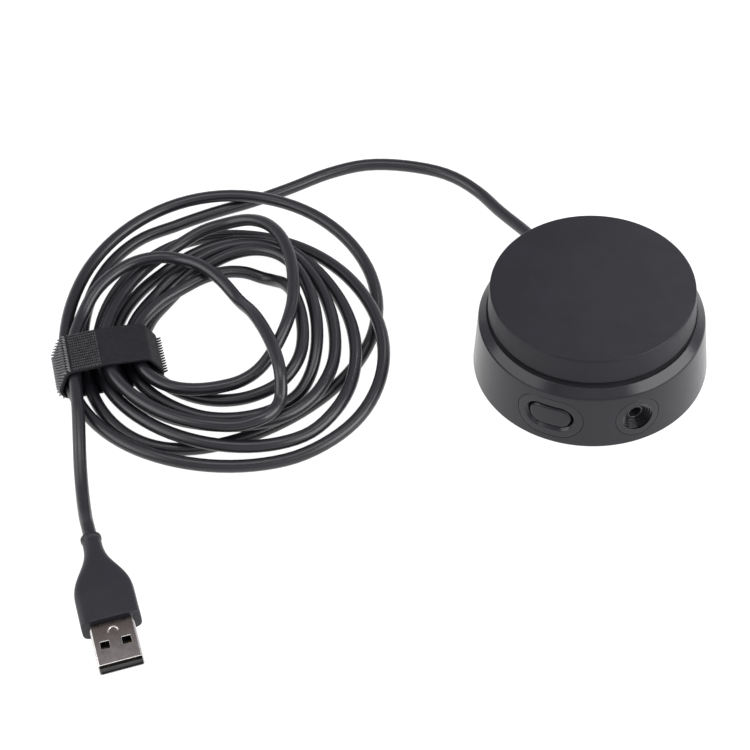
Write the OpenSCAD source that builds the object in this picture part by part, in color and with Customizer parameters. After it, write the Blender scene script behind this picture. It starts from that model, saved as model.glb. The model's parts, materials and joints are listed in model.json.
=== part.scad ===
// Desktop sound dial: a round base with a turning knob, a push button, a headphone socket and a corded plug.
// Millimetres. The origin is on the floor under the middle of the base, +Z is up and -Y is the front.

/* [Base] */
// Width of the base across its lower edge
base_d = 68.4; // [66:0.1:90]
// How much the wall leans in from the lower edge to the shoulder
wall_draft = 1.6; // [0.5:0.1:2.5]
// Height of the wall from the lower edge to the shoulder
wall_h = 18; // [17.5:0.1:24]
// Rise of the sloped shoulder
shoulder_rise = 2.5; // [1.5:0.1:4]
// Inward run of the sloped shoulder
shoulder_inset = 2.3; // [1.5:0.1:3]
// Width of the flat rim on top of the shoulder
rim_flat = 0.3; // [0.2:0.1:0.8]
// Thickness of the base wall
wall_t = 2; // [1.6:0.1:2.4]
// Depth of the round well under the knob
well_depth = 2; // [1:0.1:2.5]
// Thickness of the deck that closes the base
deck_t = 1.8; // [1.2:0.1:2.5]
// Width of the thick middle of the deck
deck_hub_d = 16; // [14:0.5:20]

/* [Underside] */
// Thickness of the bottom cover
cover_t = 1.6; // [1.2:0.1:1.8]
// Width of the ledge in the wall that the cover closes against
cover_ledge = 0.6; // [0.4:0.1:0.8]
// Gap around the cover
cover_gap = 0.15; // [0.1:0.05:0.3]
// Thickness of the rubber foot
foot_t = 1; // [0.6:0.1:1.2]
// How far the foot stands out below the base
foot_proud = 0.4; // [0.2:0.1:0.5]
// Bare edge of the cover around the foot
foot_inset = 1.6; // [1:0.1:4]
// Gap between the foot and its recess
foot_gap = 0.2; // [0.1:0.05:0.4]

/* [Screws] */
// Thread size of the screws
screw_d = 2; // [1.6:0.1:2.5]
// Width of a screw head
screw_head_d = 3.8; // [3:0.1:4.4]
// Height of a screw head
screw_head_h = 1.2; // [0.8:0.1:1.6]
// Width of the hollow in a screw head
screw_drive_d = 1.5; // [1:0.1:2]
// Depth of the hollow in a screw head
screw_drive_h = 0.7; // [0.3:0.1:0.7]
// Length of a cover screw under its head
cover_screw_l = 8; // [5:0.5:10]
// Length of a board screw under its head
board_screw_l = 7; // [4:0.5:9]
// Gap between a screw and its hole
screw_gap = 0.06; // [0.05:0.01:0.15]
// Width of the posts for the cover screws
cover_post_d = 5.6; // [4.5:0.1:6]
// Distance of the cover posts from the inside of the wall
cover_post_inset = 4.6; // [4:0.1:6]
// Thickness of the cover pads round the screws
cover_pad_t = 1.4; // [1.2:0.1:2]
// Width of the posts for the board screws
board_post_d = 4.8; // [4:0.1:5.4]
// Distance of the board posts from the edge of the board
board_post_inset = 7.6; // [7.2:0.1:9.6]
// Places of the cover posts round the base, from the front
cover_post_angles = [45, 165, 285];
// Places of the board posts round the base, from the front
board_post_angles = [90, 150, 285];

/* [Knob] */
// Open gap between the rim and the knob
knob_gap = 1.5; // [0.6:0.1:3]
// How far the lower edge of the knob lies inside the rim
knob_margin = 0.5; // [0:0.1:1.5]
// Height of the knob
knob_h = 8.3; // [7:0.1:14]
// How much the knob leans in towards its top
knob_draft = 0.6; // [0:0.1:1.5]
// Rounding of the top edge of the knob
knob_edge_r = 0.6; // [0.3:0.1:1.2]
// Thickness of the side of the knob
knob_wall_t = 1.6; // [1.2:0.1:2.5]
// Thickness of the top of the knob
knob_top_t = 2; // [1.2:0.1:3]
// Thickness of the plate that closes the knob from below
core_t = 1.6; // [1:0.1:2]
// How far that plate is set up inside the knob
core_rise = 0.8; // [0.2:0.1:1.5]
// Gap around that plate
core_gap = 0.1; // [0.05:0.05:0.3]
// Width of the sleeve on the shaft
core_sleeve_d = 12; // [9:0.5:16]
// Number of ribs inside the knob
core_ribs = 6; // [3:1:12]
// Thickness of a rib
core_rib_t = 1.2; // [0.8:0.1:2]
// Gap between the shaft and the sleeve
sleeve_gap = 0.05; // [0.02:0.01:0.1]

/* [Turning sensor] */
// Width of the sensor case
sensor_w = 12.5; // [11:0.1:14]
// Height of the sensor case
sensor_h = 5.9; // [5:0.1:6.5]
// Thickness of the metal plate on the sensor
sensor_plate_t = 0.6; // [0.4:0.1:1]
// Width of the threaded neck
neck_d = 7; // [6.6:0.1:8]
// Gap between the neck and the deck
neck_gap = 0.15; // [0.1:0.05:0.3]
// How far the neck stands above the nut
neck_proud = 0.3; // [0.1:0.1:0.4]
// Width of the shaft
shaft_d = 6; // [5:0.1:6]
// Depth of the flat on the shaft
shaft_flat = 1.5; // [1:0.1:2]
// Depth of the shaft inside the sensor case
shaft_depth = 3.5; // [2:0.1:4]
// Clear space under the shaft
shaft_end_gap = 0.3; // [0.2:0.1:0.6]
// Running gap around the shaft
shaft_gap = 0.06; // [0.03:0.01:0.09]
// Length of shaft inside the sleeve of the knob
shaft_grip = 5; // [3:0.1:5.2]
// Size of the nut across its flats
nut_af = 10; // [9:0.5:12]
// Height of the nut
nut_h = 2; // [1.5:0.1:2.2]
// Width of the washer
washer_d = 13; // [11:0.5:15]
// Thickness of the washer
washer_t = 0.5; // [0.3:0.1:0.6]

/* [Circuit board] */
// Thickness of the board
board_t = 1.6; // [1:0.1:1.6]
// Distance of the board edge from the inside of the wall
board_inset = 4; // [3.9:0.1:6]
// Gap between the board and what passes it
board_gap = 0.4; // [0.3:0.1:0.8]
// Width of the sound chip
chip_w = 7; // [4:0.5:9]
// Height of the sound chip
chip_h = 1.2; // [0.7:0.1:2]
// Place of the sound chip on the board
chip_place = [-13, 7];
// Width of a capacitor
capacitor_d = 5; // [3:0.5:6]
// Height of a capacitor
capacitor_h = 5.4; // [3:0.1:7]
// Place of the first capacitor on the board
capacitor_place = [12, -4];
// Distance between the capacitors
capacitor_pitch = 12; // [7:0.5:14]
// Width of the cord header
header_w = 10; // [6:0.5:12]
// Depth of the cord header
header_l = 4; // [3:0.1:5]
// Height of the cord header
header_h = 4.5; // [3:0.1:6]

/* [Button] */
// Height of the middle of the button and of the socket above the floor
port_z = 9.5; // [9.5:0.1:11]
// Place of the button round the base, from the front
button_angle = -22; // [-40:1:-20]
// Width of the button
button_w = 12.7; // [10:0.1:14]
// Height of the button
button_h = 6.9; // [5:0.1:7]
// Gap around the button
button_gap = 0.3; // [0.25:0.05:0.5]
// Depth of the button face below the frame face
button_recess = 0.2; // [0.1:0.1:0.8]
// Travel of the button
button_travel = 0.5; // [0.2:0.1:0.6]
// Slope round the edge of the button face
button_edge = 0.5; // [0.1:0.05:0.6]
// Width of the sloped lip of the frame
frame_lip = 0.75; // [0.3:0.05:0.8]
// Depth of the sloped lip of the frame
frame_lip_depth = 1.5; // [0.5:0.1:1.6]
// Plain width of the frame outside its lip
frame_margin = 2.3; // [2:0.1:2.8]
// Thickness of the frame
frame_t = 1.9; // [1.8:0.1:2]
// Gap between the frame and the base
frame_gap = 0.12; // [0.05:0.01:0.25]
// Flange of the button behind the frame
button_flange = 1.2; // [0.8:0.1:1.4]
// Thickness of the button flange
button_flange_t = 1; // [0.8:0.1:1.2]
// Distance of the flange behind the base face
button_flange_back = 3.8; // [3.7:0.1:4]
// Width of the post behind the button
button_post_d = 3; // [2:0.1:4]
// Length of the post behind the button
button_post_l = 1.4; // [1.2:0.1:2]

/* [Switch] */
// Width of the switch
switch_w = 6.2; // [5:0.1:7]
// Depth of the switch
switch_l = 4.6; // [4.4:0.1:6]
// Width of the plunger
plunger_d = 3; // [2:0.1:3.5]
// Length of plunger that stands out of the switch
plunger_out = 1.6; // [1.2:0.1:2.4]
// Length of plunger inside the switch
plunger_in = 2; // [1.2:0.1:2.4]
// Running gap around the plunger
plunger_gap = 0.06; // [0.03:0.01:0.09]
// Clear space behind the pressed plunger
plunger_end_gap = 0.5; // [0.3:0.1:0.8]

/* [Headphone socket] */
// Place of the socket round the base, from the front
jack_angle = 22; // [20:1:40]
// Width of the hole for the headphone plug
jack_bore_d = 3.6; // [3.5:0.05:3.8]
// Length of the hole for the headphone plug, right through the socket
jack_bore_l = 14; // [12:0.5:15]
// Width of the socket body
jack_w = 6.5; // [6:0.1:8]
// Height of the socket body
jack_h = 5.8; // [5:0.1:5.8]
// Width of the round nose of the socket
jack_nose_d = 5; // [4.6:0.1:5.2]
// Length of the round nose of the socket
jack_nose_l = 1.4; // [1:0.1:1.6]
// Gap around the nose
jack_nose_gap = 0.15; // [0.1:0.05:0.3]
// Width of the stepped recess at the base face
recess_d = 9; // [7:0.1:10]
// Depth of the stepped recess
recess_depth = 2.4; // [1.5:0.1:2.6]
// Number of steps in the recess
recess_steps = 5; // [2:1:6]
// Width of the insert that holds the recess
insert_d = 13; // [11:0.1:14]
// Depth of the insert behind the base face
insert_l = 3.2; // [2.8:0.1:3.6]
// Thickness of the socket solder tabs
tab_t = 0.4; // [0.2:0.05:0.6]
// Width of the socket solder tabs
tab_w = 2; // [1:0.1:2.5]
// Height of the socket solder tabs
tab_h = 4; // [2:0.1:5]
// Distance between the socket solder tabs
tab_pitch = 4; // [3:0.1:4.5]

/* [Cord] */
// Thickness of the cord
cord_d = 3.8; // [3:0.1:3.9]
// Height of the cord where it leaves the base
exit_z = 7; // [6.9:0.1:8]
// Place of the cord exit round the base, from the front
exit_angle = 200; // [190:1:215]
// Length of the tapered cord guard outside the wall
guard_l = 8; // [5:0.1:12]
// Width of the guard at the wall
guard_d = 7.2; // [6:0.1:8]
// Width of the guard at its tip
guard_tip_d = 5.2; // [4.6:0.1:6]
// Width of the guard flange inside the wall
guard_flange_d = 9.2; // [8.4:0.1:9.4]
// Thickness of the guard flange
guard_flange_t = 1.5; // [1:0.1:2]
// Gap between the guard and the wall
guard_gap = 0.1; // [0.05:0.05:0.2]
// Distance of the guard flange behind the base face
guard_flange_back = 2.6; // [2.5:0.1:3]
// Length of cord inside the base
inner_cord_l = 5.5; // [3:0.1:6]
// Length of the wires between the cord and the header
wire_l = 4; // [2:0.1:5]
// Thickness of a wire
wire_d = 0.6; // [0.4:0.05:0.7]
// Distance between the wires
wire_pitch = 0.8; // [0.75:0.05:0.9]

/* [Coil] */
// Distance between cords side by side in the strap
slot_pitch = 4.4; // [4.35:0.05:4.6]
// Clear space that crossing cords keep from each other
lay_gap = 0.55; // [0.45:0.05:0.6]
// Direction of the strap, turned from the front
strap_angle = 16; // [0:1:30]
// Middle of the strap on the floor
strap_place = [-143, -6];

/* [Strap] */
// Width of the strap band
strap_w = 15; // [10:0.5:18]
// Thickness of the strap band
strap_t = 1.2; // [0.8:0.1:1.4]
// Gap between the strap and the cords
strap_gap = 0.3; // [0.25:0.05:0.6]

/* [Plug] */
// Place of the cord end of the plug on the floor
plug_place = [-138.2, -70.5];
// Direction of the plug, turned from the right
plug_angle = -71.3; // [-90:0.1:-50]
// Width of the plug grip
grip_w = 16.1; // [14:0.1:18]
// Thickness of the plug grip
grip_t = 8; // [7:0.1:9]
// Length of the plug grip with its neck
grip_l = 30.5; // [30:0.5:36]
// Width of the neck of the grip
grip_neck_d = 5.3; // [4.6:0.1:5.6]
// Length of the neck of the grip
grip_neck_l = 2; // [2:0.1:5]
// Width of the collar on the neck
grip_collar_d = 5.8; // [5.6:0.1:7]
// Length of the collar on the neck
grip_collar_l = 1; // [0.6:0.1:1.2]
// Length of the flare from the neck to the full width
grip_flare_l = 20.5; // [14:0.5:21]
// How square the section of the grip is at its full width, from 0 for an oval
grip_square = 1.4; // [0:0.1:2]
// Rounding of the front edge of the grip
grip_edge = 0.4; // [0.2:0.1:0.6]
// Width of the metal shell
shell_w = 12; // [11.9:0.05:12.1]
// Height of the metal shell
shell_h = 4.5; // [4.4:0.05:4.6]
// Length of the metal shell in front of the grip
shell_l = 13.2; // [11.75:0.05:13.5]
// Length of the metal shell inside the grip
shell_in = 7.5; // [5:0.1:9]
// Sheet thickness of the metal shell
shell_t = 0.3; // [0.2:0.05:0.4]
// Outer rounding along the edges of the metal shell
shell_corner_r = 0.7; // [0.5:0.05:1]
// Width of the half-round spring tab in each face of the shell
spring_w = 2.4; // [1.5:0.1:2.6]
// Width of the cut round that tab
spring_cut = 0.3; // [0.2:0.05:0.4]
// Distance of that tab from the grip
spring_x = 1.9; // [0.5:0.1:2]
// Gap between the shell and the pieces it meets
shell_gap = 0.05; // [0.03:0.01:0.1]
// Size of the square windows in the shell
window_w = 2.4; // [1.8:0.1:2.6]
// Distance between the windows
window_pitch = 5.8; // [5:0.1:6.5]
// Distance of the windows from the open end
window_x = 6; // [4.5:0.1:7]
// Thickness of the contact bar
bar_t = 1.84; // [1.6:0.02:1.9]
// Distance of the contact bar from the open end
bar_back = 0.5; // [0.2:0.1:1.5]
// Length of the block behind the contact bar
block_l = 5; // [3:0.1:6]
// Width of a contact
contact_w = 1; // [0.8:0.1:1.3]
// Thickness of a contact
contact_t = 0.25; // [0.15:0.05:0.3]
// Length of the outer contacts
contact_l = 13; // [9:0.5:13.5]
// How much shorter the inner contacts are
contact_short = 1; // [0:0.1:2]
// Distance of the inner contacts from the middle
contact_inner = 1; // [0.8:0.05:1.2]
// Distance of the outer contacts from the middle
contact_outer = 3.5; // [3.2:0.05:3.7]

/* [Hidden] */
$fn = 96;
base_r = base_d / 2;
shoulder_r = base_r - wall_draft;
shoulder_z = foot_proud + wall_h;
rim_r = shoulder_r - shoulder_inset;
rim_z = shoulder_z + shoulder_rise;
well_r = rim_r - rim_flat;
deck_z = rim_z - well_depth;
deck_under = deck_z - deck_t;
cover_z = foot_proud + cover_t;
cover_r = wall_r(cover_z) - wall_t + cover_ledge - cover_gap;
foot_r = cover_r - foot_inset;
foot_top = foot_t;
pad_z = cover_z + cover_pad_t;
cover_post_ring = wall_r(cover_z) - wall_t - cover_post_inset;
head_top = foot_top + screw_head_h;
board_top = port_z - jack_h / 2;
board_z = board_top - board_t;
board_r = wall_r(board_top) - wall_t - board_inset;
board_post_r = board_r - board_post_inset;
sensor_top = board_top + sensor_h;
hub_under = sensor_top + sensor_plate_t;
nut_z = deck_z + washer_t;
neck_top = nut_z + nut_h + neck_proud;
neck_hole_r = neck_d / 2 + neck_gap;
shaft_hole_r = shaft_d / 2 + shaft_gap;
shaft_z = sensor_top - shaft_depth;
knob_z = rim_z + knob_gap;
knob_r = rim_r - knob_margin;
knob_top = knob_z + knob_h;
knob_top_r = knob_r - knob_draft;
knob_ceiling = knob_top - knob_top_t;
shaft_top = knob_z + shaft_grip;
core_z = knob_z + core_rise;
core_r = knob_inner(core_z + core_t) - core_gap;
port_r = wall_r(port_z);
hole_w = button_w + 2 * button_gap;
hole_h = button_h + 2 * button_gap;
lip_w = hole_w + 2 * frame_lip;
lip_h = hole_h + 2 * frame_lip;
frame_w = lip_w + 2 * frame_margin;
frame_h = lip_h + 2 * frame_margin;
flange_y = button_flange_back - port_r;
post_y = flange_y + button_flange_t;
plunger_y = post_y + button_post_l;
switch_y = plunger_y + plunger_out;
mouth_y = recess_depth - port_r;
jack_y = mouth_y + jack_nose_l;
exit_r = wall_r(exit_z);
guard_end = exit_r + guard_l;
guard_inner = exit_r - guard_flange_back - guard_flange_t;
cord_r = cord_d / 2;
cord_inner_end = guard_inner - inner_cord_l;
strap_rest = cord_r + strap_t + strap_gap;
wire_z = exit_z + wire_pitch;
header_y = cord_inner_end - wire_l;
plug_z = grip_t / 2;
shell_end = grip_l + shell_l;
shell_start = grip_l - shell_in;
bar_top = bar_t + shell_gap + shell_t - shell_h / 2;

// Steps in each round end and each straight run of a pill, and round and along the plug grip
pill_arc = 16;
pill_run = 6;
grip_steps = 32;
grip_sections = 12;
// How far a cutting shape passes the surface it cuts
over = 1;
// Straight length at each end of a stretch of cord
straight = cord_d;
// Outline points and stations for each stretch of cord
tube_sides = 8;
span_steps = 2;
// The free cord from the base to the coil, with heights
lead_path = [[-19, 49, 5.4], [-26.5, 60, 3.2], [-34, 71, 1.9], [-44, 79, 1.9], [-57, 83, 1.9],
    [-70, 83.5, 1.9], [-82, 79.5, 1.9], [-94, 72.5, 1.9], [-105.5, 66.5, 1.9], [-117, 61.5, 1.9]];
// The free cord from the coil to the plug, with heights
tail_path = [[-146, -36, 6.8], [-144.8, -45, 4], [-143.2, -53.5, 2.4], [-141.2, -61.5, 2.7]];
// Loops in the order they were laid, each with its lowest, farthest and highest place from the strap
loops = [
    [[28, -38], [84, 5], [38, 61]],
    [[39, -49], [81.5, -9], [36, 47]],
    [[45, -45], [73, 3], [38, 40]],
    [[43, -37], [68.5, 2], [40, 35]],
    [[42, -31], [64, 2], [41, 30]],
    [[42, -25], [59.5, 3], [42, 25]],
    [[34, -20.5], [60, 10], [41, 44]],
    [[29, -39], [47.5, -11], [26, 33]]];
// Slot in the strap that each pass of the cord takes
slots = [0.6, -0.6, 1.6, 2.6, 3.6, 4.6, 4.1, 2.1, 0];
// Arc by which the cord comes in to its first pass
first_arc = [[30, -40], [80, 4], [30, 55]];
first_rings = 6;
middle_slot = 2;
loop_rings = 24;
coil_sides = 6;
last_rings = 4;
last_step = [0.25, 4];
// Rings over which a cord climbs, rings that count as its own neighbours, and tests between rings
climb = 4;
own_rings = 14;
tests = 4;
// Rings before the loops can reach the free cord
free_rings = 16;
// Reach to each side within which a cord lies in the strap, and outline points of the strap round a cord
strap_reach = 16;
strap_facets = 40;

// Radius of the base wall at a height
function wall_r(z) = base_r - wall_draft * (z - foot_proud) / wall_h;
// Inner radius of the knob side at a height
function knob_inner(z) = knob_r - knob_draft * (z - knob_z) / knob_h - knob_wall_t;
// A point on the base wall at the front, some depth below the face
function face_point(x, z, depth) = [x, -sqrt(pow(wall_r(z) - depth, 2) - x * x), z];
// The outline of a lying pill, from its lower right, with points along its arcs and its straight runs
function pill_outline(w, h) = let (s = (w - h) / 2, r = h / 2) concat(
    [for (i = [0:pill_arc]) let (a = 180 * i / pill_arc - 90) [s + r * cos(a), r * sin(a)]],
    [for (i = [1:pill_run - 1]) [s - 2 * s * i / pill_run, r]],
    [for (i = [0:pill_arc]) let (a = 180 * i / pill_arc + 90) [r * cos(a) - s, r * sin(a)]],
    [for (i = [1:pill_run - 1]) [2 * s * i / pill_run - s, -r]]);
// That outline laid on the base wall at a depth, or flattened at a place behind it
function pill_ring(w, h, depth) = [for (p = pill_outline(w, h)) face_point(p[0], port_z + p[1], depth)];
function flat_pill(w, h, y) = [for (p = pill_outline(w, h)) [p[0], y, port_z + p[1]]];
// Side faces between rings of n points each, closed back to the first ring or open
function skin(rings, n, closed = false) = [for (k = [0:rings - (closed ? 1 : 2)], i = [0:n - 1], t = [0, 1])
    let (next = (k + 1) % rings, j = (i + 1) % n)
    t == 0 ? [k * n + i, k * n + j, next * n + j] : [k * n + i, next * n + j, next * n + i]];
// Flat end faces of a skin
function skin_ends(rings, n) = [[for (i = [n - 1:-1:0]) i], [for (i = [0:n - 1]) (rings - 1) * n + i]];

// Cord shapes

function unit(v) = v / norm(v);
function plug_dir() = [cos(plug_angle), sin(plug_angle), 0];
function exit_dir() = [sin(exit_angle), -cos(exit_angle), 0];
function strap_u() = [cos(strap_angle), sin(strap_angle)];
function strap_v() = [-sin(strap_angle), cos(strap_angle)];
function on_floor(q) = strap_place + q[0] * strap_u() + q[1] * strap_v();
function clamp(t) = max(0, min(1, t));
function ease(f) = f * f * f * (f * (6 * f - 15) + 10);
// A smooth path through points, nowhere lower than a cord on the floor
function path_point(p, i, t) =
    let (n = len(p) - 1, a = p[max(0, i - 1)], b = p[i], c = p[i + 1], d = p[min(n, i + 2)])
    0.5 * (2 * b + (c - a) * t + (2 * a - 5 * b + 4 * c - d) * t * t + (3 * b - 3 * c + d - a) * t * t * t);
function on_top(p) = [p[0], p[1], max(p[2], cord_r)];
function path(p) = [p[0],
    for (i = [1:len(p) - 3], k = [0:span_steps - 1]) on_top(path_point(p, i, k / span_steps)),
    p[len(p) - 2], p[len(p) - 1]];
// Direction of a path at one of its points
function heading(p, i) = unit(p[min(len(p) - 1, i + 1)] - p[max(0, i - 1)]);
// Rings of points along a path
function tube_points(p, n) = [for (i = [0:len(p) - 1])
    let (d = heading(p, i), s = unit(cross(d, [0, 0, 1])), u = cross(s, d))
    for (k = [0:n - 1]) p[i] + cord_r * (cos(360 * k / n) * s + sin(360 * k / n) * u)];

// A point of one loop, seen from the strap: it leaves the strap downwards and comes back from above
function loop_point(a, places, from, to) =
    let (f = ease(a / 360),
        slot = [(from + (to - from) * f - middle_slot) * slot_pitch, 0],
        mid = [((from + to) / 2 - middle_slot) * slot_pitch, 0],
        low = places[0] - mid,
        far = places[1] - mid,
        high = places[2] - mid,
        lean = (low - high) / 2,
        twist = ([0, -norm(lean)] - lean) / 2)
    slot + (low + far + high) / 4 - cos(a) * far / 2 + sin(a) * lean
        + cos(2 * a) * (far - low - high) / 4 + sin(2 * a) * twist;
// The whole coil seen from above
function coil_plan() =
    let (step = 360 / loop_rings, n = len(loops),
        out = loop_point(360, loops[n - 1], slots[n - 1], slots[n]))
    [for (i = [-first_rings:-1]) loop_point(360 + i * step, first_arc, slots[0], slots[0]),
        for (k = [0:n - 1], i = [0:loop_rings - 1]) loop_point(i * step, loops[k], slots[k], slots[k + 1]),
        for (i = [0:last_rings]) out - i * last_step];
// Share of a segment at which it comes nearest to a point
function nearest(p, a, b) = clamp((p - a) * (b - a) / ((b - a) * (b - a)));
// Height that a cord needs at p to pass over one laid segment, or nothing
function pass_over(p, a, b, za, zb) =
    let (t = nearest(p, a, b), h = norm(p - a - t * (b - a)), reach = cord_d + lay_gap)
    h < reach ? [za + t * (zb - za) + sqrt(reach * reach - h * h)] : [];
// Height of the cord where nothing else lies under it
function rest_height(q) = abs(q[1]) < strap_w / 2 + 1 && abs(q[0]) < strap_reach ?
    strap_rest : cord_r;
// Height that ring j needs over everything laid before it
function need(q, z, lead, j) = max([rest_height(q[j]),
    for (s = [1 - tests:tests - 1])
        let (k = s < 0 ? j - 1 : j, f = s < 0 ? 1 + s / tests : s / tests)
        if (k >= 0 && k + 1 < len(q))
            let (p = q[k] * (1 - f) + q[k + 1] * f)
            each [for (i = [0:1:j - own_rings - 2]) each pass_over(p, q[i], q[i + 1], z[i], z[i + 1]),
                if (j > free_rings) for (i = [1:len(lead) - 1])
                    let (a = lead[i - 1], b = lead[i])
                        each pass_over(p, [a[0], a[1]], [b[0], b[1]], a[2], b[2])]]);
function bump(k) = pow(cos(90 * k / (climb + 1)), 2);
// Heights of all rings, found one after the other
function settle(q, lead, needs = [], z = []) =
    len(z) == len(q) ? z :
    len(needs) < min(len(q), len(z) + climb + 1) ?
        settle(q, lead, concat(needs, need(q, z, lead, len(needs))), z) :
        settle(q, lead, needs, concat(z, max([
            for (j = [max(0, len(z) - climb):min(len(q) - 1, len(z) + climb)])
                cord_r + (needs[j] - cord_r) * bump(j - len(z))])));
// The free cord seen from the strap, for the heights of the coil
function to_strap(p) = let (d = [p[0], p[1]] - strap_place) [d * strap_u(), d * strap_v(), p[2]];
function coil_points() = let (q = coil_plan(), z = settle(q, [for (p = lead_path) to_strap(p)]))
    [for (i = [0:len(q) - 1]) concat(on_floor(q[i]), z[i])];
// Least distance between two straight stretches
function stretch_gap(a, b, c, d) =
    let (u = b - a, v = d - c, r = a - c, uu = u * u, vv = v * v, uv = u * v, ur = u * r, vr = v * r,
        den = uu * vv - uv * uv,
        s0 = den > 0.001 ? clamp((uv * vr - ur * vv) / den) : 0,
        t0 = (uv * s0 + vr) / vv,
        t = clamp(t0),
        s = t == t0 ? s0 : clamp(t0 < 0 ? -ur / uu : (uv - ur) / uu))
    norm(r + u * s - v * t);
// Least clear space between stretches of one cord that aren't neighbours
function own_gap(p, apart, near) = min([for (i = [0:len(p) - 2 - apart], j = [i + apart:len(p) - 2])
    if (norm(p[i] - p[j]) < near) stretch_gap(p[i], p[i + 1], p[j], p[j + 1])]) - cord_d;
function path_length(p) = let (d = [for (i = [1:len(p) - 1]) norm(p[i] - p[i - 1])]) d * [for (x = d) 1];
function lead_points() =
    let (q = coil_plan(), a = concat(on_floor(q[0]), cord_r), b = concat(on_floor(q[1]), cord_r),
        out = guard_end * exit_dir() + [0, 0, exit_z])
    path(concat([out, out + straight * exit_dir()], lead_path, [a - straight * unit(b - a), a]));
function tail_points() = let (c = coil_points(), n = len(c) - 1, d = heading(c, n),
        end = [plug_place[0], plug_place[1], plug_z])
    path(concat([c[n], c[n] + straight * d], tail_path, [end - straight * plug_dir(), end]));

// Shapes shared by several pieces

module at_angle(a) rotate([0, 0, a]) children();
// A straight pill through the front wall
module pill_bar(w, h, y0, y1) translate([0, y1, port_z]) rotate([90, 0, 0]) linear_extrude(y1 - y0) {
    square([w - h, h], center = true);
    translate([(w - h) / 2, 0]) circle(d = h);
    translate([(h - w) / 2, 0]) circle(d = h);
}
// A round bar along the front wall direction
module round_bar(d, y0, y1, z) translate([0, y1, z]) rotate([90, 0, 0]) cylinder(d = d, h = y1 - y0);
// The base wall between two depths below its face
module wall_shell(d0, d1) rotate_extrude() polygon([
    [wall_r(cover_z) - d0, cover_z], [wall_r(cover_z) - d1, cover_z],
    [wall_r(deck_under) - d1, deck_under], [wall_r(deck_under) - d0, deck_under]]);
module screw(head_h, l) difference() {
    union() {
        cylinder(d = screw_head_d, h = head_h);
        translate([0, 0, head_h]) cylinder(d = screw_d, h = l);
    }
    translate([0, 0, -over]) cylinder(d = screw_drive_d, h = screw_drive_h + over, $fn = 6);
}
// A flat box outline with round corners, about its middle
module round_box(w, h, r) {
    square([w, h - 2 * r], center = true);
    square([w - 2 * r, h], center = true);
    for (x = [-1, 1], y = [-1, 1]) translate([x * (w / 2 - r), y * (h / 2 - r)]) circle(r = r);
}
// A tube of cord along points
module cord_tube(p, n) polyhedron(tube_points(p, n), concat(skin_ends(len(p), n), skin(len(p), n)));

// Base

module base_housing() color([0.2, 0.2, 0.21]) difference() {
    union() {
        rotate_extrude() polygon([
            [base_r, foot_proud], [shoulder_r, shoulder_z], [rim_r, rim_z], [well_r, rim_z], [well_r, deck_z],
            [neck_hole_r, deck_z], [neck_hole_r, hub_under], [deck_hub_d / 2, hub_under],
            [deck_hub_d / 2, deck_under], [wall_r(deck_under) - wall_t, deck_under],
            [wall_r(cover_z) - wall_t, cover_z], [cover_r + cover_gap, cover_z],
            [cover_r + cover_gap, foot_proud]]);
        for (a = cover_post_angles) at_angle(a) translate([0, -cover_post_ring, pad_z])
            cylinder(d = cover_post_d, h = deck_under + deck_t / 2 - pad_z);
        for (a = board_post_angles) at_angle(a) translate([0, -board_post_r, board_top])
            cylinder(d = board_post_d, h = deck_under + deck_t / 2 - board_top);
    }
    for (a = cover_post_angles) at_angle(a) translate([0, -cover_post_ring, pad_z - over])
        cylinder(r = screw_d / 2 + screw_gap, h = head_top + cover_screw_l - pad_z + 2 * over);
    for (a = board_post_angles) at_angle(a) translate([0, -board_post_r, board_top - over])
        cylinder(r = screw_d / 2 + screw_gap, h = board_screw_l - board_t + 2 * over);
    at_angle(button_angle)
        pill_bar(frame_w + 2 * frame_gap, frame_h + 2 * frame_gap, -base_r - over, flange_y);
    at_angle(jack_angle) round_bar(insert_d + 2 * frame_gap, -base_r - over, jack_y, port_z);
    at_angle(exit_angle) round_bar(guard_d + 2 * guard_gap, -base_r - over, -guard_inner, exit_z);
}

module bottom_cover() color([0.16, 0.16, 0.17]) difference() {
    union() {
        translate([0, 0, foot_proud]) cylinder(r = cover_r, h = cover_t);
        for (a = cover_post_angles) at_angle(a) translate([0, -cover_post_ring, foot_top])
            cylinder(d = cover_post_d, h = pad_z - foot_top);
    }
    translate([0, 0, foot_proud - over]) cylinder(r = foot_r + foot_gap, h = foot_t - foot_proud + over);
    for (a = cover_post_angles) at_angle(a) translate([0, -cover_post_ring, 0]) {
        cylinder(r = screw_head_d / 2 + screw_gap, h = head_top);
        cylinder(r = screw_d / 2 + screw_gap, h = pad_z + over);
    }
}

module rubber_foot() color([0.1, 0.1, 0.1]) cylinder(r = foot_r, h = foot_t);

module cover_screws() color([0.6, 0.6, 0.62]) for (a = cover_post_angles) at_angle(a)
    translate([0, -cover_post_ring, foot_top]) screw(screw_head_h, cover_screw_l);

// Circuit board

module circuit_board() color([0.1, 0.3, 0.18]) difference() {
    translate([0, 0, board_z]) cylinder(r = board_r, h = board_t);
    for (a = cover_post_angles) at_angle(a) translate([0, -cover_post_ring, board_z - over])
        cylinder(d = cover_post_d + 2 * board_gap, h = board_t + 2 * over);
    for (a = board_post_angles) at_angle(a) translate([0, -board_post_r, board_z - over])
        cylinder(r = screw_d / 2 + screw_gap, h = board_t + 2 * over);
    at_angle(exit_angle) translate([-cord_r - board_gap, -board_r - over, board_z - over])
        cube([cord_d + 2 * board_gap, board_r + over - cord_inner_end + board_gap, board_t + 2 * over]);
}

module board_screws() color([0.6, 0.6, 0.62]) for (a = board_post_angles) at_angle(a)
    translate([0, -board_post_r, board_z - screw_head_h]) screw(screw_head_h, board_screw_l);

module sound_chip() color([0.08, 0.08, 0.09])
    translate([chip_place[0], chip_place[1], board_top + chip_h / 2])
        cube([chip_w, chip_w, chip_h], center = true);

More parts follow.
